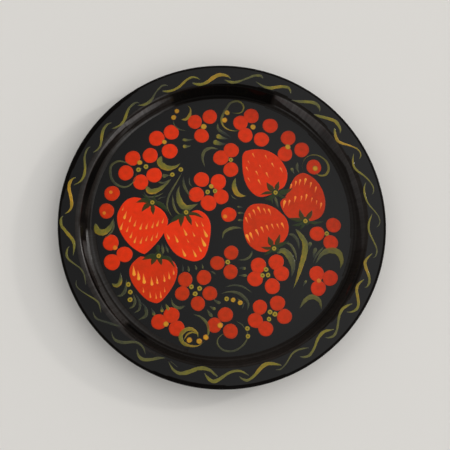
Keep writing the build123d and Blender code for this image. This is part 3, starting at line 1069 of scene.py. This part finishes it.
# %% [markdown]
# ## Grass
# Grass ties the berries together. It is painted after them with quick curling strokes: broad
# leaves, commas pressed from one side, and thin curls. Each entry below is one touch of the brush:
# the points that it passes, its greatest width, the paint where it starts, halfway and where it
# ends, and where along the way it is widest. A broad leaf has one number more, for the paint that
# the brush pushes to the outer side of its bend.

# %% the grass of the north-west
NORTH_WEST = [
    ([(-58, 64.5), (-59.5, 58), (-53, 53), (-45, 54), (-40, 57.5)], 6.0, (0.66, 0.7, 0.64), 0.35, 0.2),
    ([(-72, 35), (-68, 30), (-60, 32), (-52, 38.5), (-48, 43)], 5.5, (0.68, 0.64, 0.46), 0.28, 0.3),
    ([(-61, 39), (-55, 38.5), (-49, 42)], 2.0, (0.4, 0.3, 0.46), 0.4),
    ([(-57, 45), (-53, 45.5), (-50, 46)], 4.0, (0.5, 0.39, 0.46), 0.25),
    ([(-75, 30), (-70, 25), (-62, 25.5), (-55, 29)], 1.5, (0.3, 0.36, 0.44), 0.5),
    ([(-61, 22), (-58, 24), (-53, 25)], 1.0, (0.44, 0.27, 0.26), 0.5),
    ([(-85, 54), (-92, 58), (-99, 59), (-105, 55), (-106, 48), (-104, 41), (-99, 36), (-92, 34),
      (-86, 37), (-82, 43), (-81.5, 49)], 2.4, (0.48, 0.3, 0.5), 0.45),
    ([(-38, 49), (-44, 38), (-50, 27), (-52, 17), (-49, 9), (-46, 5.5)], 1.8, (0.52, 0.38, 0.52), 0.5),
    ([(-47, 27), (-46, 18), (-43, 11), (-38, 7)], 2.2, (0.42, 0.51, 0.56), 0.5),
    ([(-40.5, 36), (-42, 28), (-39, 18.5), (-33, 14.5), (-23, 18.5)], 6.0, (0.5, 0.66, 0.56), 0.55, -0.3),
    ([(-37, 45), (-36.5, 37), (-32, 28), (-29, 25)], 2.5, (0.29, 0.46, 0.4), 0.5),
    ([(-31.5, 44), (-31, 38), (-28, 34.5)], 1.3, (0.28, 0.33, 0.36), 0.4),
    ([(-38.5, 81), (-33, 80.6), (-27, 81.5)], 2.8, (0.6, 0.42, 0.19), 0.25),
    ([(-38, 74.5), (-34, 74.2), (-30, 75)], 3.5, (0.76, 0.48, 0.42), 0.25),
    ([(-6, 85.5), (0, 83.2), (6, 82)], 4.5, (0.74, 0.48, 0.19), 0.2),
    ([(-9, 79.5), (-2, 77.4), (5, 77)], 5.0, (0.68, 0.39, 0.16), 0.2),
    ([(-4.5, 98), (-4, 92), (2, 87.5), (8, 84)], 3.0, (0.46, 0.28, 0.15), 0.5),
    ([(-34.5, 116), (-31, 112), (-31.5, 106), (-35, 101.5), (-40, 101)], 3.0, (0.72, 0.75, 0.74), 0.65),
    ([(-47, 100), (-46, 95), (-41, 91), (-34, 90)], 1.2, (0.4, 0.38, 0.34), 0.4),
    ([(-4, 72), (-11, 73), (-17, 70), (-19, 63), (-16.5, 54)], 3.0, (0.46, 0.45, 0.42), 0.45),
    ([(-118.5, -1), (-116, -8), (-110, -9), (-104.5, -4), (-101.5, 4)], 6.0, (0.66, 0.72, 0.46), 0.35,
      0.1),
    ([(-101, 2), (-102, -6), (-106, -12), (-110, -15)], 2.0, (0.4, 0.4, 0.4), 0.45)]
print("north-west", len(NORTH_WEST), "strokes")

# %% the grass of the north-east
NORTH_EAST = [
    ([(8, 108.5), (17, 108.5), (20.5, 113), (19, 118), (14, 120.5), (8, 118.5), (4, 113), (0.5, 106.5),
      (-1, 101), (1, 95), (6, 91.5), (12, 90.3), (17, 91)], 2.3, (0.69, 0.36, 0.77), 0.5),
    ([(12.5, 44), (11, 37), (13, 30), (17, 27), (22.5, 26.5)], 5.0, (0.6, 0.78, 0.78), 0.5, 0.1),
    ([(8, 28), (10, 25), (14, 23)], 1.0, (0.38, 0.38, 0.4), 0.5),
    ([(78, 51), (76.5, 56), (79, 63), (85, 67), (93, 66.5), (100, 61), (102, 54), (99.5, 48.5), (94, 47),
      (88.5, 49.5)], 2.3, (0.72, 0.63, 0.71), 0.75),
    ([(66, 54.5), (67.2, 51.5), (69, 48)], 3.0, (0.58, 0.36, 0.29), 0.2),
    ([(72, 60), (71.5, 54), (73.5, 49)], 2.5, (0.4, 0.35, 0.37), 0.4),
    ([(14, 16), (16.5, 15.8), (19, 15)], 2.0, (0.55, 0.21, 0.18), 0.4),
    ([(14.5, 10), (18, 10), (21, 9.5)], 2.0, (0.64, 0.31, 0.2), 0.4),
    ([(14.5, 3), (17, 3.2), (20, 3)], 2.0, (0.6, 0.39, 0.28), 0.4)]
print("north-east", len(NORTH_EAST), "strokes")

# %% the grass of the south-east
SOUTH_EAST = [
    ([(0, -15), (1.5, -9), (6, -5.5), (12, -4), (19, -4.5)], 2.8, (0.47, 0.51, 0.44), 0.5),
    ([(28, -26), (26, -31), (21, -34), (14, -34.5)], 2.2, (0.41, 0.42, 0.32), 0.4),
    ([(22, -42.5), (18, -42), (15, -42)], 3.0, (0.56, 0.2, 0.17), 0.3),
    ([(23, -49), (19, -48.8), (15, -49)], 2.5, (0.52, 0.41, 0.28), 0.3),
    ([(2, -60), (10, -58), (18, -59), (25, -63), (28, -65)], 1.8, (0.3, 0.29, 0.34), 0.5),
    ([(-2, -66), (6, -64), (14, -65), (20, -69), (24, -75), (23, -81)], 3.0, (0.41, 0.34, 0.34), 0.6),
    ([(14, -70), (19, -75), (18, -80)], 1.5, (0.53, 0.28, 0.3), 0.5),
    ([(22, -95), (23, -104), (21, -110), (16, -115), (9, -118), (1, -117), (-4, -112), (-4, -107),
      (0, -103), (5, -102)], 1.9, (0.47, 0.3, 0.48), 0.5),
    ([(13, -91), (18, -94), (21, -98)], 1.0, (0.35, 0.37, 0.44), 0.5),
    ([(51, -28), (57, -25.5), (63, -31), (66, -40), (64.5, -50)], 6.5, (0.58, 0.47, 0.36), 0.4, -0.3),
    ([(59, -18), (64, -20), (68, -27), (69.5, -35)], 2.5, (0.42, 0.44, 0.46), 0.4),
    ([(62, -10), (67, -11), (71, -17), (72, -24)], 3.0, (0.33, 0.31, 0.34), 0.4),
    ([(69, -5), (73, -10), (77.5, -18), (77, -28), (73.5, -40), (70, -51), (66, -61)], 5.5,
      (0.58, 0.7, 0.72), 0.36, -0.3),
    ([(83, -17), (82, -21), (81, -25)], 3.5, (0.51, 0.27, 0.22), 0.3),
    ([(88, -22.5), (86, -28), (85, -33)], 3.5, (0.42, 0.31, 0.21), 0.3),
    ([(95, -22), (88, -30), (85, -37)], 2.0, (0.4, 0.33, 0.27), 0.4),
    ([(87, -38), (93, -29), (101, -25), (109, -27), (112, -35), (110.5, -42)], 6.0, (0.42, 0.6, 0.65),
      0.55),
    ([(71.5, -79), (77, -71.5), (83.5, -68.5), (90, -72), (92, -80)], 4.5, (0.5, 0.56, 0.56), 0.5),
    ([(78.5, -53), (76.5, -56), (75, -59)], 2.5, (0.56, 0.31, 0.3), 0.3)]
print("south-east", len(SOUTH_EAST), "strokes")

# %% the grass of the south-west
SOUTH_WEST = [
    ([(-101.6, -56.4), (-99.4, -58.2), (-96.6, -58.4), (-94.4, -56.4), (-93.6, -52.4), (-94, -46.6)], 3.8,
      (0.6, 0.68, 0.34), 0.42, 0.25),
    ([(-88, -52), (-89, -62), (-92, -67), (-97, -68.5)], 3.0, (0.4, 0.33, 0.35), 0.6),
    ([(-82, -66), (-80, -73), (-82, -78), (-86, -79.5)], 2.5, (0.36, 0.38, 0.42), 0.5),
    ([(-80, -66), (-76, -73), (-76, -80), (-81, -84)], 2.5, (0.2, 0.28, 0.37), 0.5),
    ([(-74, -74), (-70, -80), (-70, -86), (-77, -90)], 3.0, (0.2, 0.36, 0.37), 0.5),
    ([(-16, -109), (-22, -113), (-30, -113), (-36, -110), (-38, -104), (-34, -99), (-28, -98),
      (-23, -101.5), (-22, -106)], 4.0, (0.8, 0.66, 0.76), 0.6),
    ([(-22, -103), (-27, -101), (-32, -103), (-35, -108)], 1.6, (0.66, 0.79, 0.81), 0.5),
    ([(-27, -84.5), (-20, -87), (-14, -93), (-12.5, -100), (-14, -105), (-17, -108)], 2.5,
      (0.42, 0.5, 0.6), 0.5),
    ([(-47, -70), (-45, -76), (-40, -79), (-34, -77)], 3.0, (0.44, 0.46, 0.38), 0.6),
    ([(-55, -83), (-55.5, -79.5), (-56, -76)], 3.0, (0.78, 0.32, 0.22), 0.3),
    ([(-49, -81), (-50.5, -78), (-52, -75)], 3.5, (0.78, 0.6, 0.55), 0.3),
    ([(-62, -86), (-63.5, -82.5), (-65, -79)], 3.0, (0.56, 0.26, 0.17), 0.3),
    ([(-56.5, -18.5), (-55.6, -23.5), (-55, -29.5)], 2.8, (0.28, 0.44, 0.46), 0.62),
    ([(-53.3, -20), (-51.8, -24), (-50, -28.5)], 2.0, (0.22, 0.36, 0.4), 0.55),
    ([(50, 25.8), (51.5, 20), (53, 14.5)], 2.6, (0.46, 0.38, 0.26), 0.35),
    ([(-37, -39), (-36.5, -42.5), (-36.5, -46)], 1.6, (0.25, 0.24, 0.26), 0.6),
    ([(-32, -40), (-31.2, -43), (-31, -46)], 2.2, (0.46, 0.38, 0.47), 0.6),
    ([(-25.5, -39), (-24.5, -41.5), (-24, -44)], 2.0, (0.31, 0.37, 0.5), 0.6),
    ([(-19, -38), (-18.3, -40.5), (-18, -43)], 1.5, (0.38, 0.44, 0.5), 0.6),
    ([(-11, -45), (-8.5, -46.2), (-6, -48)], 1.5, (0.32, 0.3, 0.37), 0.5),
    ([(-1.5, -74.5), (-5.5, -73), (-9, -70)], 3.0, (0.42, 0.27, 0.32), 0.3),
    ([(-6, -80), (-9, -79), (-12, -77)], 3.0, (0.58, 0.38, 0.33), 0.3),
    ([(-9, -87), (-11.8, -83.8), (-14, -80)], 3.0, (0.46, 0.33, 0.43), 0.3)]
print("south-west", len(SOUTH_WEST), "strokes")

# %% paint the grass
grass = Layer(0.062)
for path, width, loads, belly, *lean in NORTH_WEST + NORTH_EAST + SOUTH_EAST + SOUTH_WEST:
    grass.stroke(path, width, loads, belly, *lean)
grass.piece("grass_strokes", olive)

# %% [markdown]
# ## The border
# On the flange runs a row of reversed curves, one after the other round the tray. Each begins near
# the hem, swings up to it, falls across the flange and turns up again at its inner edge, under the
# start of the next. Each point below is a turn in degrees, a distance from the middle and a width,
# which are turned into points on the flange. The numbers after them are the paint where the stroke
# starts, halfway and where it ends. As listed the curves swing a little too wide, so one sum sets
# all the distances right just before the border is painted.

# %% the border on the far side
FAR_BORDER = [
    ([(-2.1, 142, 0.5), (-1.3, 144.3, 0.8), (0.2, 145.3, 0.9), (2, 144.2, 1), (4.1, 140.8, 1.1),
      (6, 137.4, 1.2), (8, 135.1, 1.4), (10.5, 134.2, 1.8), (12.3, 134.5, 1.6), (14, 135.9, 1.2),
      (15.4, 138.2, 0.4)], (0.46, 0.6, 0.68)),
    ([(10.4, 141, 0.5), (11.2, 142.9, 0.8), (13, 143.9, 1.2), (15, 142.8, 1.2), (17, 140.5, 1.4),
      (18.7, 138, 1.6), (20.3, 135.3, 2), (21.8, 133.6, 2), (23.5, 133.1, 2), (25.5, 134.8, 1.5),
      (27.7, 138.6, 0.4)], (0.56, 0.64, 0.69)),
    ([(25, 141.5, 0.6), (25.8, 143.8, 1), (27.3, 145, 1.2), (29, 143.7, 1.3), (30.5, 141, 1.4),
      (32, 138, 1.8), (33.5, 134.7, 2.4), (35.3, 132.5, 2.8), (37, 133.2, 2.8), (38.7, 135.2, 2.2),
      (40.2, 137.8, 1.2)], (0.72, 0.88, 0.75)),
    ([(37.3, 138.8, 0.4), (38.3, 141.4, 1.6), (39.8, 142.8, 2.8), (42, 143.3, 3.2), (44, 141.1, 3),
      (46, 138.3, 2.8), (48, 135.6, 2.4), (50, 133.9, 0.8)], (0.64, 0.72, 0.61)),
    ([(49, 139.6, 0.4), (49.8, 142, 1.6), (51.5, 143.5, 3), (53.5, 142.4, 3), (55.5, 139.4, 2.8),
      (57.5, 136.3, 2.6), (59, 134.6, 1.6), (60.8, 133.2, 0.4)], (0.49, 0.65, 0.47)),
    ([(62.3, 138.9, 0.4), (63, 141, 1.6), (64.3, 142.9, 2.4), (66.5, 141.4, 2.8), (68.5, 138.7, 3),
      (70.2, 136.1, 3.2), (72, 135, 2.6), (74, 135.3, 1.8), (76.8, 137.6, 0.4)], (0.6, 0.75, 0.5)),
    ([(74.6, 143, 1.2), (75.8, 144.8, 2.4), (78, 143.3, 2.2), (80, 140.1, 1.8), (82, 137, 1.6),
      (83.6, 134.9, 2), (85.6, 133.4, 2.6), (87.5, 133.8, 2.2), (89.4, 135.4, 0.5)], (0.49, 0.45, 0.61)),
    ([(87, 136.8, 0.6), (88, 139, 1.6), (89.8, 140.4, 3), (92, 140.1, 3.6), (94.2, 137.3, 3.8),
      (96, 134.3, 3.2), (98.2, 132.3, 2.6), (100.3, 132.5, 2.6), (102.4, 134.8, 1.2)], (0.74, 0.82, 0.66)),
    ([(99.2, 136.9, 0.4), (100.3, 139.3, 1.2), (102, 140.7, 2), (104, 139.6, 2), (106, 136.9, 2.2),
      (108, 134.3, 2.2), (110.3, 133, 2), (112.8, 133.6, 2.2), (114.9, 135.9, 1)], (0.68, 0.72, 0.68)),
    ([(112, 139.1, 0.5), (113.2, 140.6, 1.4), (114.5, 140.7, 1.6), (116.5, 138.7, 1.2),
      (118.3, 136.1, 1.4), (120, 133.3, 2.2), (122, 131.9, 2.8), (124, 132.2, 2.2), (126.3, 135, 0.4)],
      (0.41, 0.37, 0.57)),
    ([(125.2, 136.3, 0.4), (126.3, 138.4, 1.4), (127.9, 138.6, 2), (129.5, 137.9, 2), (131.3, 135.8, 2.4),
      (133, 133.4, 2.8), (135, 131.3, 2.4), (137, 131.1, 1.8), (139, 132.5, 1.4), (140.3, 134.5, 0.5)],
      (0.43, 0.68, 0.58)),
    ([(138.6, 138.6, 0.5), (139.8, 140.2, 1.4), (141.3, 140.5, 2.2), (143, 139.7, 2.6), (145, 137.3, 2.8),
      (146.8, 134.8, 2.2), (148.5, 133.2, 1.6), (150.5, 133.3, 1.4), (152.4, 135.4, 0.5)],
      (0.52, 0.72, 0.52)),
    ([(151, 140.5, 0.5), (151.9, 141.8, 1.4), (153.5, 141.7, 1.6), (155.5, 140.3, 1.8),
      (157.5, 137.8, 1.9), (159.5, 135.3, 2.1), (161.8, 134, 2.4), (163.8, 134.4, 1.8),
      (165.3, 136.3, 1.2), (166.9, 140.4, 0.4)], (0.48, 0.68, 0.66)),
    ([(163.9, 140.5, 0.5), (164.6, 142.9, 1.4), (166.5, 144.6, 2.8), (168.5, 143.8, 2.8),
      (170.3, 141.8, 2.8), (172, 139.9, 2.8), (174, 138.5, 2.9), (175.7, 138.7, 2), (177, 140.6, 1.4),
      (178, 143.8, 0.5)], (0.78, 0.92, 0.76)),
    ([(178.8, 145.5, 0.6), (179.6, 147, 1.6), (181, 147.2, 2.4), (182.5, 146.3, 2.4), (184, 143.4, 2.6),
      (185.8, 140.2, 3), (187.5, 137.4, 2.8), (189.3, 136.1, 2.6), (191.3, 136.8, 1.6),
      (193.7, 138.8, 0.4)], (0.62, 0.74, 0.62))]
print("far side", len(FAR_BORDER), "strokes")

# %% the border on the near side
NEAR_BORDER = [
    ([(190.1, 140.8, 0.4), (191, 142.8, 1.2), (192.8, 144.5, 1.9), (194.3, 143.9, 1.8),
      (195.8, 141.6, 1.5), (197.5, 138.2, 1.1), (199.2, 135.3, 1.2), (201.3, 134, 1.2),
      (203.5, 134.5, 1.1), (205.8, 136.1, 0.4)], (0.58, 0.48, 0.42)),
    ([(202.9, 142.5, 0.4), (204, 143.8, 0.8), (205.3, 143.9, 1), (207, 142.2, 1), (209, 139.3, 1),
      (211, 136.5, 1.2), (212.8, 134.4, 1.5), (214.3, 133.8, 1.4), (216, 135, 0.9),
      (217.8, 137, 0.3)], (0.38, 0.56, 0.46)),
    ([(215.8, 142.3, 0.4), (217, 143.3, 1.2), (218.5, 143.3, 1.6), (220, 141.3, 1.4), (222, 138, 1.8),
      (224, 135.3, 1.8), (226.5, 132, 0.6)], (0.32, 0.25, 0.28)),
    ([(225.6, 140.8, 0.4), (226.8, 142.8, 1), (228.5, 143.8, 2), (230.3, 142.4, 2.6), (232, 139.6, 2.6),
      (233.5, 136.1, 2.2), (235.3, 133.6, 1.8), (237, 133.2, 1.6), (238.7, 134.6, 1.3),
      (240.3, 138, 0.4)], (0.36, 0.38, 0.42)),
    ([(236.8, 138.4, 0.4), (237.7, 141, 1.4), (239, 142.9, 2.4), (240.5, 143.2, 3), (242, 141.6, 2.8),
      (243.7, 138.8, 2.6), (245.3, 135.7, 2.2), (247.5, 133.3, 0.4)], (0.48, 0.54, 0.46)),
    ([(249.3, 135.2, 0.3), (250.2, 137.4, 1), (252, 140.6, 2), (254.3, 142, 2.8), (256.5, 140.1, 3.6),
      (258.5, 137.2, 3.6), (260.5, 134.3, 3.2), (263, 133.3, 3.4), (265.2, 134.5, 2.4),
      (266.6, 137, 1.8), (268, 139.6, 1.2)], (0.54, 0.62, 0.58)),
    ([(250, 134.3, 0.5), (252.9, 137, 0.5)], (0.36, 0.36, 0.34)),
    ([(263.3, 137.5, 0.6), (264.2, 140.4, 1.8), (265.6, 143.2, 3), (267, 144.1, 3.2), (268.7, 142, 3),
      (270.5, 138.9, 2.4), (272.3, 136.4, 2.2), (274.5, 135, 2.2), (276.7, 135.7, 1.8),
      (278, 137.7, 1.4), (279.3, 140.3, 0.6)], (0.64, 0.6, 0.6)),
    ([(275.9, 140.1, 0.4), (276.8, 142.5, 1.6), (278.4, 144.6, 2.2), (280, 143.4, 2.2),
      (281.8, 140.7, 2.6), (283.5, 137.5, 3.2), (285.2, 135.1, 3.6), (287, 134.3, 3.2), (289, 135.7, 2.6),
      (290.7, 138, 1.6), (291.8, 139.9, 0.6)], (0.56, 0.74, 0.7)),
    ([(289.2, 141.7, 0.4), (290.8, 142.8, 1.2), (292.4, 141.7, 1), (294, 139.5, 1.1), (295.6, 136.9, 1.2),
      (297.2, 134.7, 1.4), (299, 134, 1.6), (300.3, 134.4, 1.5), (302, 135.7, 1.3),
      (303.7, 137.7, 0.4)], (0.42, 0.55, 0.49)),
    ([(299.2, 140.2, 0.5), (300.3, 142.3, 1.8), (302, 143.7, 2.2), (303.8, 142.7, 2.2), (305.5, 140.7, 2),
      (307.3, 137.9, 2.2), (309, 135.9, 2.6), (311, 135, 2.8), (312.7, 135.7, 2.4), (314, 137.8, 1.6),
      (315.4, 140, 0.5)], (0.54, 0.66, 0.68)),
    ([(310.9, 139.5, 0.4), (311.8, 142, 1.3), (313.6, 143.9, 2), (315.5, 142.8, 1.9),
      (317.3, 140.4, 1.9), (319.2, 137.4, 1.9), (321, 135.2, 2.2), (323.2, 134.4, 2.6), (325, 135.7, 2.2),
      (326.3, 137.5, 1.4), (327.1, 139.2, 0.5)], (0.52, 0.54, 0.68)),
    ([(323.4, 139, 0.4), (324.2, 142, 1.2), (325.5, 144.5, 2), (327, 145.3, 2.4), (328.7, 143.6, 2.4),
      (330.5, 140.3, 2.6), (332.2, 137.2, 2.6), (334, 135.8, 2.4), (335.7, 136.8, 1.8),
      (337.3, 139.1, 0.5)], (0.62, 0.73, 0.74)),
    ([(334.7, 142.6, 0.5), (335.4, 144.2, 1.2), (336.8, 144.8, 2), (338.5, 143.5, 2.2),
      (340.2, 140.6, 2.6), (341.8, 137.4, 2.8), (343.5, 135.3, 2.8), (345.2, 136, 2),
      (346.6, 138, 1.3), (347.7, 140, 0.4)], (0.6, 0.78, 0.72)),
    ([(346.2, 141.6, 0.4), (347, 143.5, 0.9), (348.6, 144.2, 1.3), (350.3, 143, 1.3),
      (352.3, 140, 1.4), (354.3, 137, 1.4), (356.2, 134.9, 1.7), (358.3, 134.4, 1.8),
      (360.3, 135.3, 1.6), (361.6, 136.8, 1.2), (362.9, 138.2, 0.4)], (0.5, 0.64, 0.66))]
print("near side", len(NEAR_BORDER), "strokes")

# %% paint the border
LOW_BEND_AT = 134.0  # about where the curves have their lower bends, from the middle
SHORTER_BY = 0.037  # the share by which they reach less far from there than listed
OUTWARD_BY = 0.12  # and the way that the whole border stands further out
border = Layer(0.022)
for course, loads in FAR_BORDER + NEAR_BORDER:
    turns, listed, widths = np.array(course).T
    turns = np.radians(turns)
    radii = (listed + OUTWARD_BY - SHORTER_BY * (listed - LOW_BEND_AT)).round(1)
    points = np.column_stack([radii * np.cos(turns), radii * np.sin(turns), widths])
    border.stroke(points, None, loads, dome=0.026)
border.piece("border_strokes", olive)

# %% [markdown]
# ## Studio
# The tray lies on a pale table. One soft window stands low on the right and draws a long faint
# shadow to the left; the rest of the light comes from the pale walls of the room, while the ceiling
# straight above stays dim, and a little lighter towards the right. That is what makes black lacquer
# readable: its floor mirrors the dim ceiling and stays black, and only the bends of the hem and
# the foot catch the bright parts of the room.

# %% table
table = bpy.data.meshes.new("table")
HALF_TABLE, CELLS = 6.0, 24
ROW = CELLS + 1
grid = np.linspace(-HALF_TABLE, HALF_TABLE, ROW)
corners = [j * ROW + i for j in range(CELLS) for i in range(CELLS)]
table.from_pydata([(x, y, 0.0) for y in grid for x in grid], [],
                  [(c, c + 1, c + ROW + 1, c + ROW) for c in corners])
table_top = bpy.data.objects.new("table_top", table)
bpy.context.scene.collection.objects.link(table_top)
pale, g = material("pale_table")
soft = g.noise(g.place(), 3.0, 2.0)
coat(g, g.blend(soft, (0.736, 0.722, 0.700), (0.756, 0.742, 0.720)), soft * 0.05 + 0.85)
table_top.data.materials.append(pale)
print("table", len(table.polygons), "faces")

# %% the room, by direction
world = bpy.data.worlds.new("room")
bpy.context.scene.world = world
g = Graph(world)
way = g.node("ShaderNodeTexCoord", output="Generated")
east = g.node("ShaderNodeSeparateXYZ", {}, {0: way})
north, up = east.other(1), east.other(2)
bright_side = east * math.cos(math.radians(42)) + north * math.sin(math.radians(42))
ceiling = east * 0.71 + north * 0.06 + 0.335
walls = bright_side * 0.62 + 1.24
low_down = g.step(up, 0.93, 0.55)
level = ceiling + (walls - ceiling) * low_down
back = g.node("ShaderNodeBackground", {}, {"Color": (1.0, 0.992, 0.975), "Strength": level})
g.node("ShaderNodeOutputWorld", {}, {"Surface": back})
print("room nodes", len(world.node_tree.nodes))


# %% window
def lamp(name, turn, climb, distance, side, power, colour):
    """A soft square lamp that looks at the tray from a turn and a climb in degrees."""
    light = bpy.data.lights.new(name, "AREA")
    light.shape, light.size, light.size_y = "RECTANGLE", side, side
    light.energy, light.color = power, colour
    made = bpy.data.objects.new(name, light)
    t, c = math.radians(turn), math.radians(climb)
    away = Vector((math.cos(c) * math.cos(t), math.cos(c) * math.sin(t), math.sin(c)))
    made.location = away * distance
    made.rotation_mode = "QUATERNION"
    made.rotation_quaternion = away.to_track_quat("Z", "Y")
    bpy.context.scene.collection.objects.link(made)
    return made


window = lamp("window", 22, 20, 6.0, 0.36, 78.0, (1.0, 0.97, 0.93))
print("window at", [round(v, 2) for v in window.location])

# %% [markdown]
# ## Camera
# The tray is seen from almost straight above, from six tenths of a metre, with the camera leaning
# ten degrees towards the near side. The camera's own axes are worked out from the line of sight, so
# that the right side of the view is the right side of the tray. Nothing is thrown out of focus.

# %% camera
TARGET = Vector((1.283, -3.903, HEIGHT)) * MM
TILT, TURN, DISTANCE = math.radians(9.751), math.radians(256.08), 0.600
away = Vector((math.sin(TILT) * math.cos(TURN), math.sin(TILT) * math.sin(TURN), math.cos(TILT)))
right = (-away).cross(Vector((0, 1, 0))).normalized()
top = right.cross(-away)
lens = bpy.data.cameras.new("camera")
lens.sensor_width, lens.lens = 36.0, 52.735
lens.clip_start, lens.clip_end = 0.01, 30.0
camera = bpy.data.objects.new("camera", lens)
camera.rotation_mode = "QUATERNION"
camera.rotation_quaternion = Matrix((right, top, away)).transposed().to_quaternion()
camera.location = TARGET + away * DISTANCE
bpy.context.scene.collection.objects.link(camera)
bpy.context.scene.camera = camera
bpy.context.scene.view_settings.view_transform = "Standard"
print("camera at", [round(v, 4) for v in camera.location])
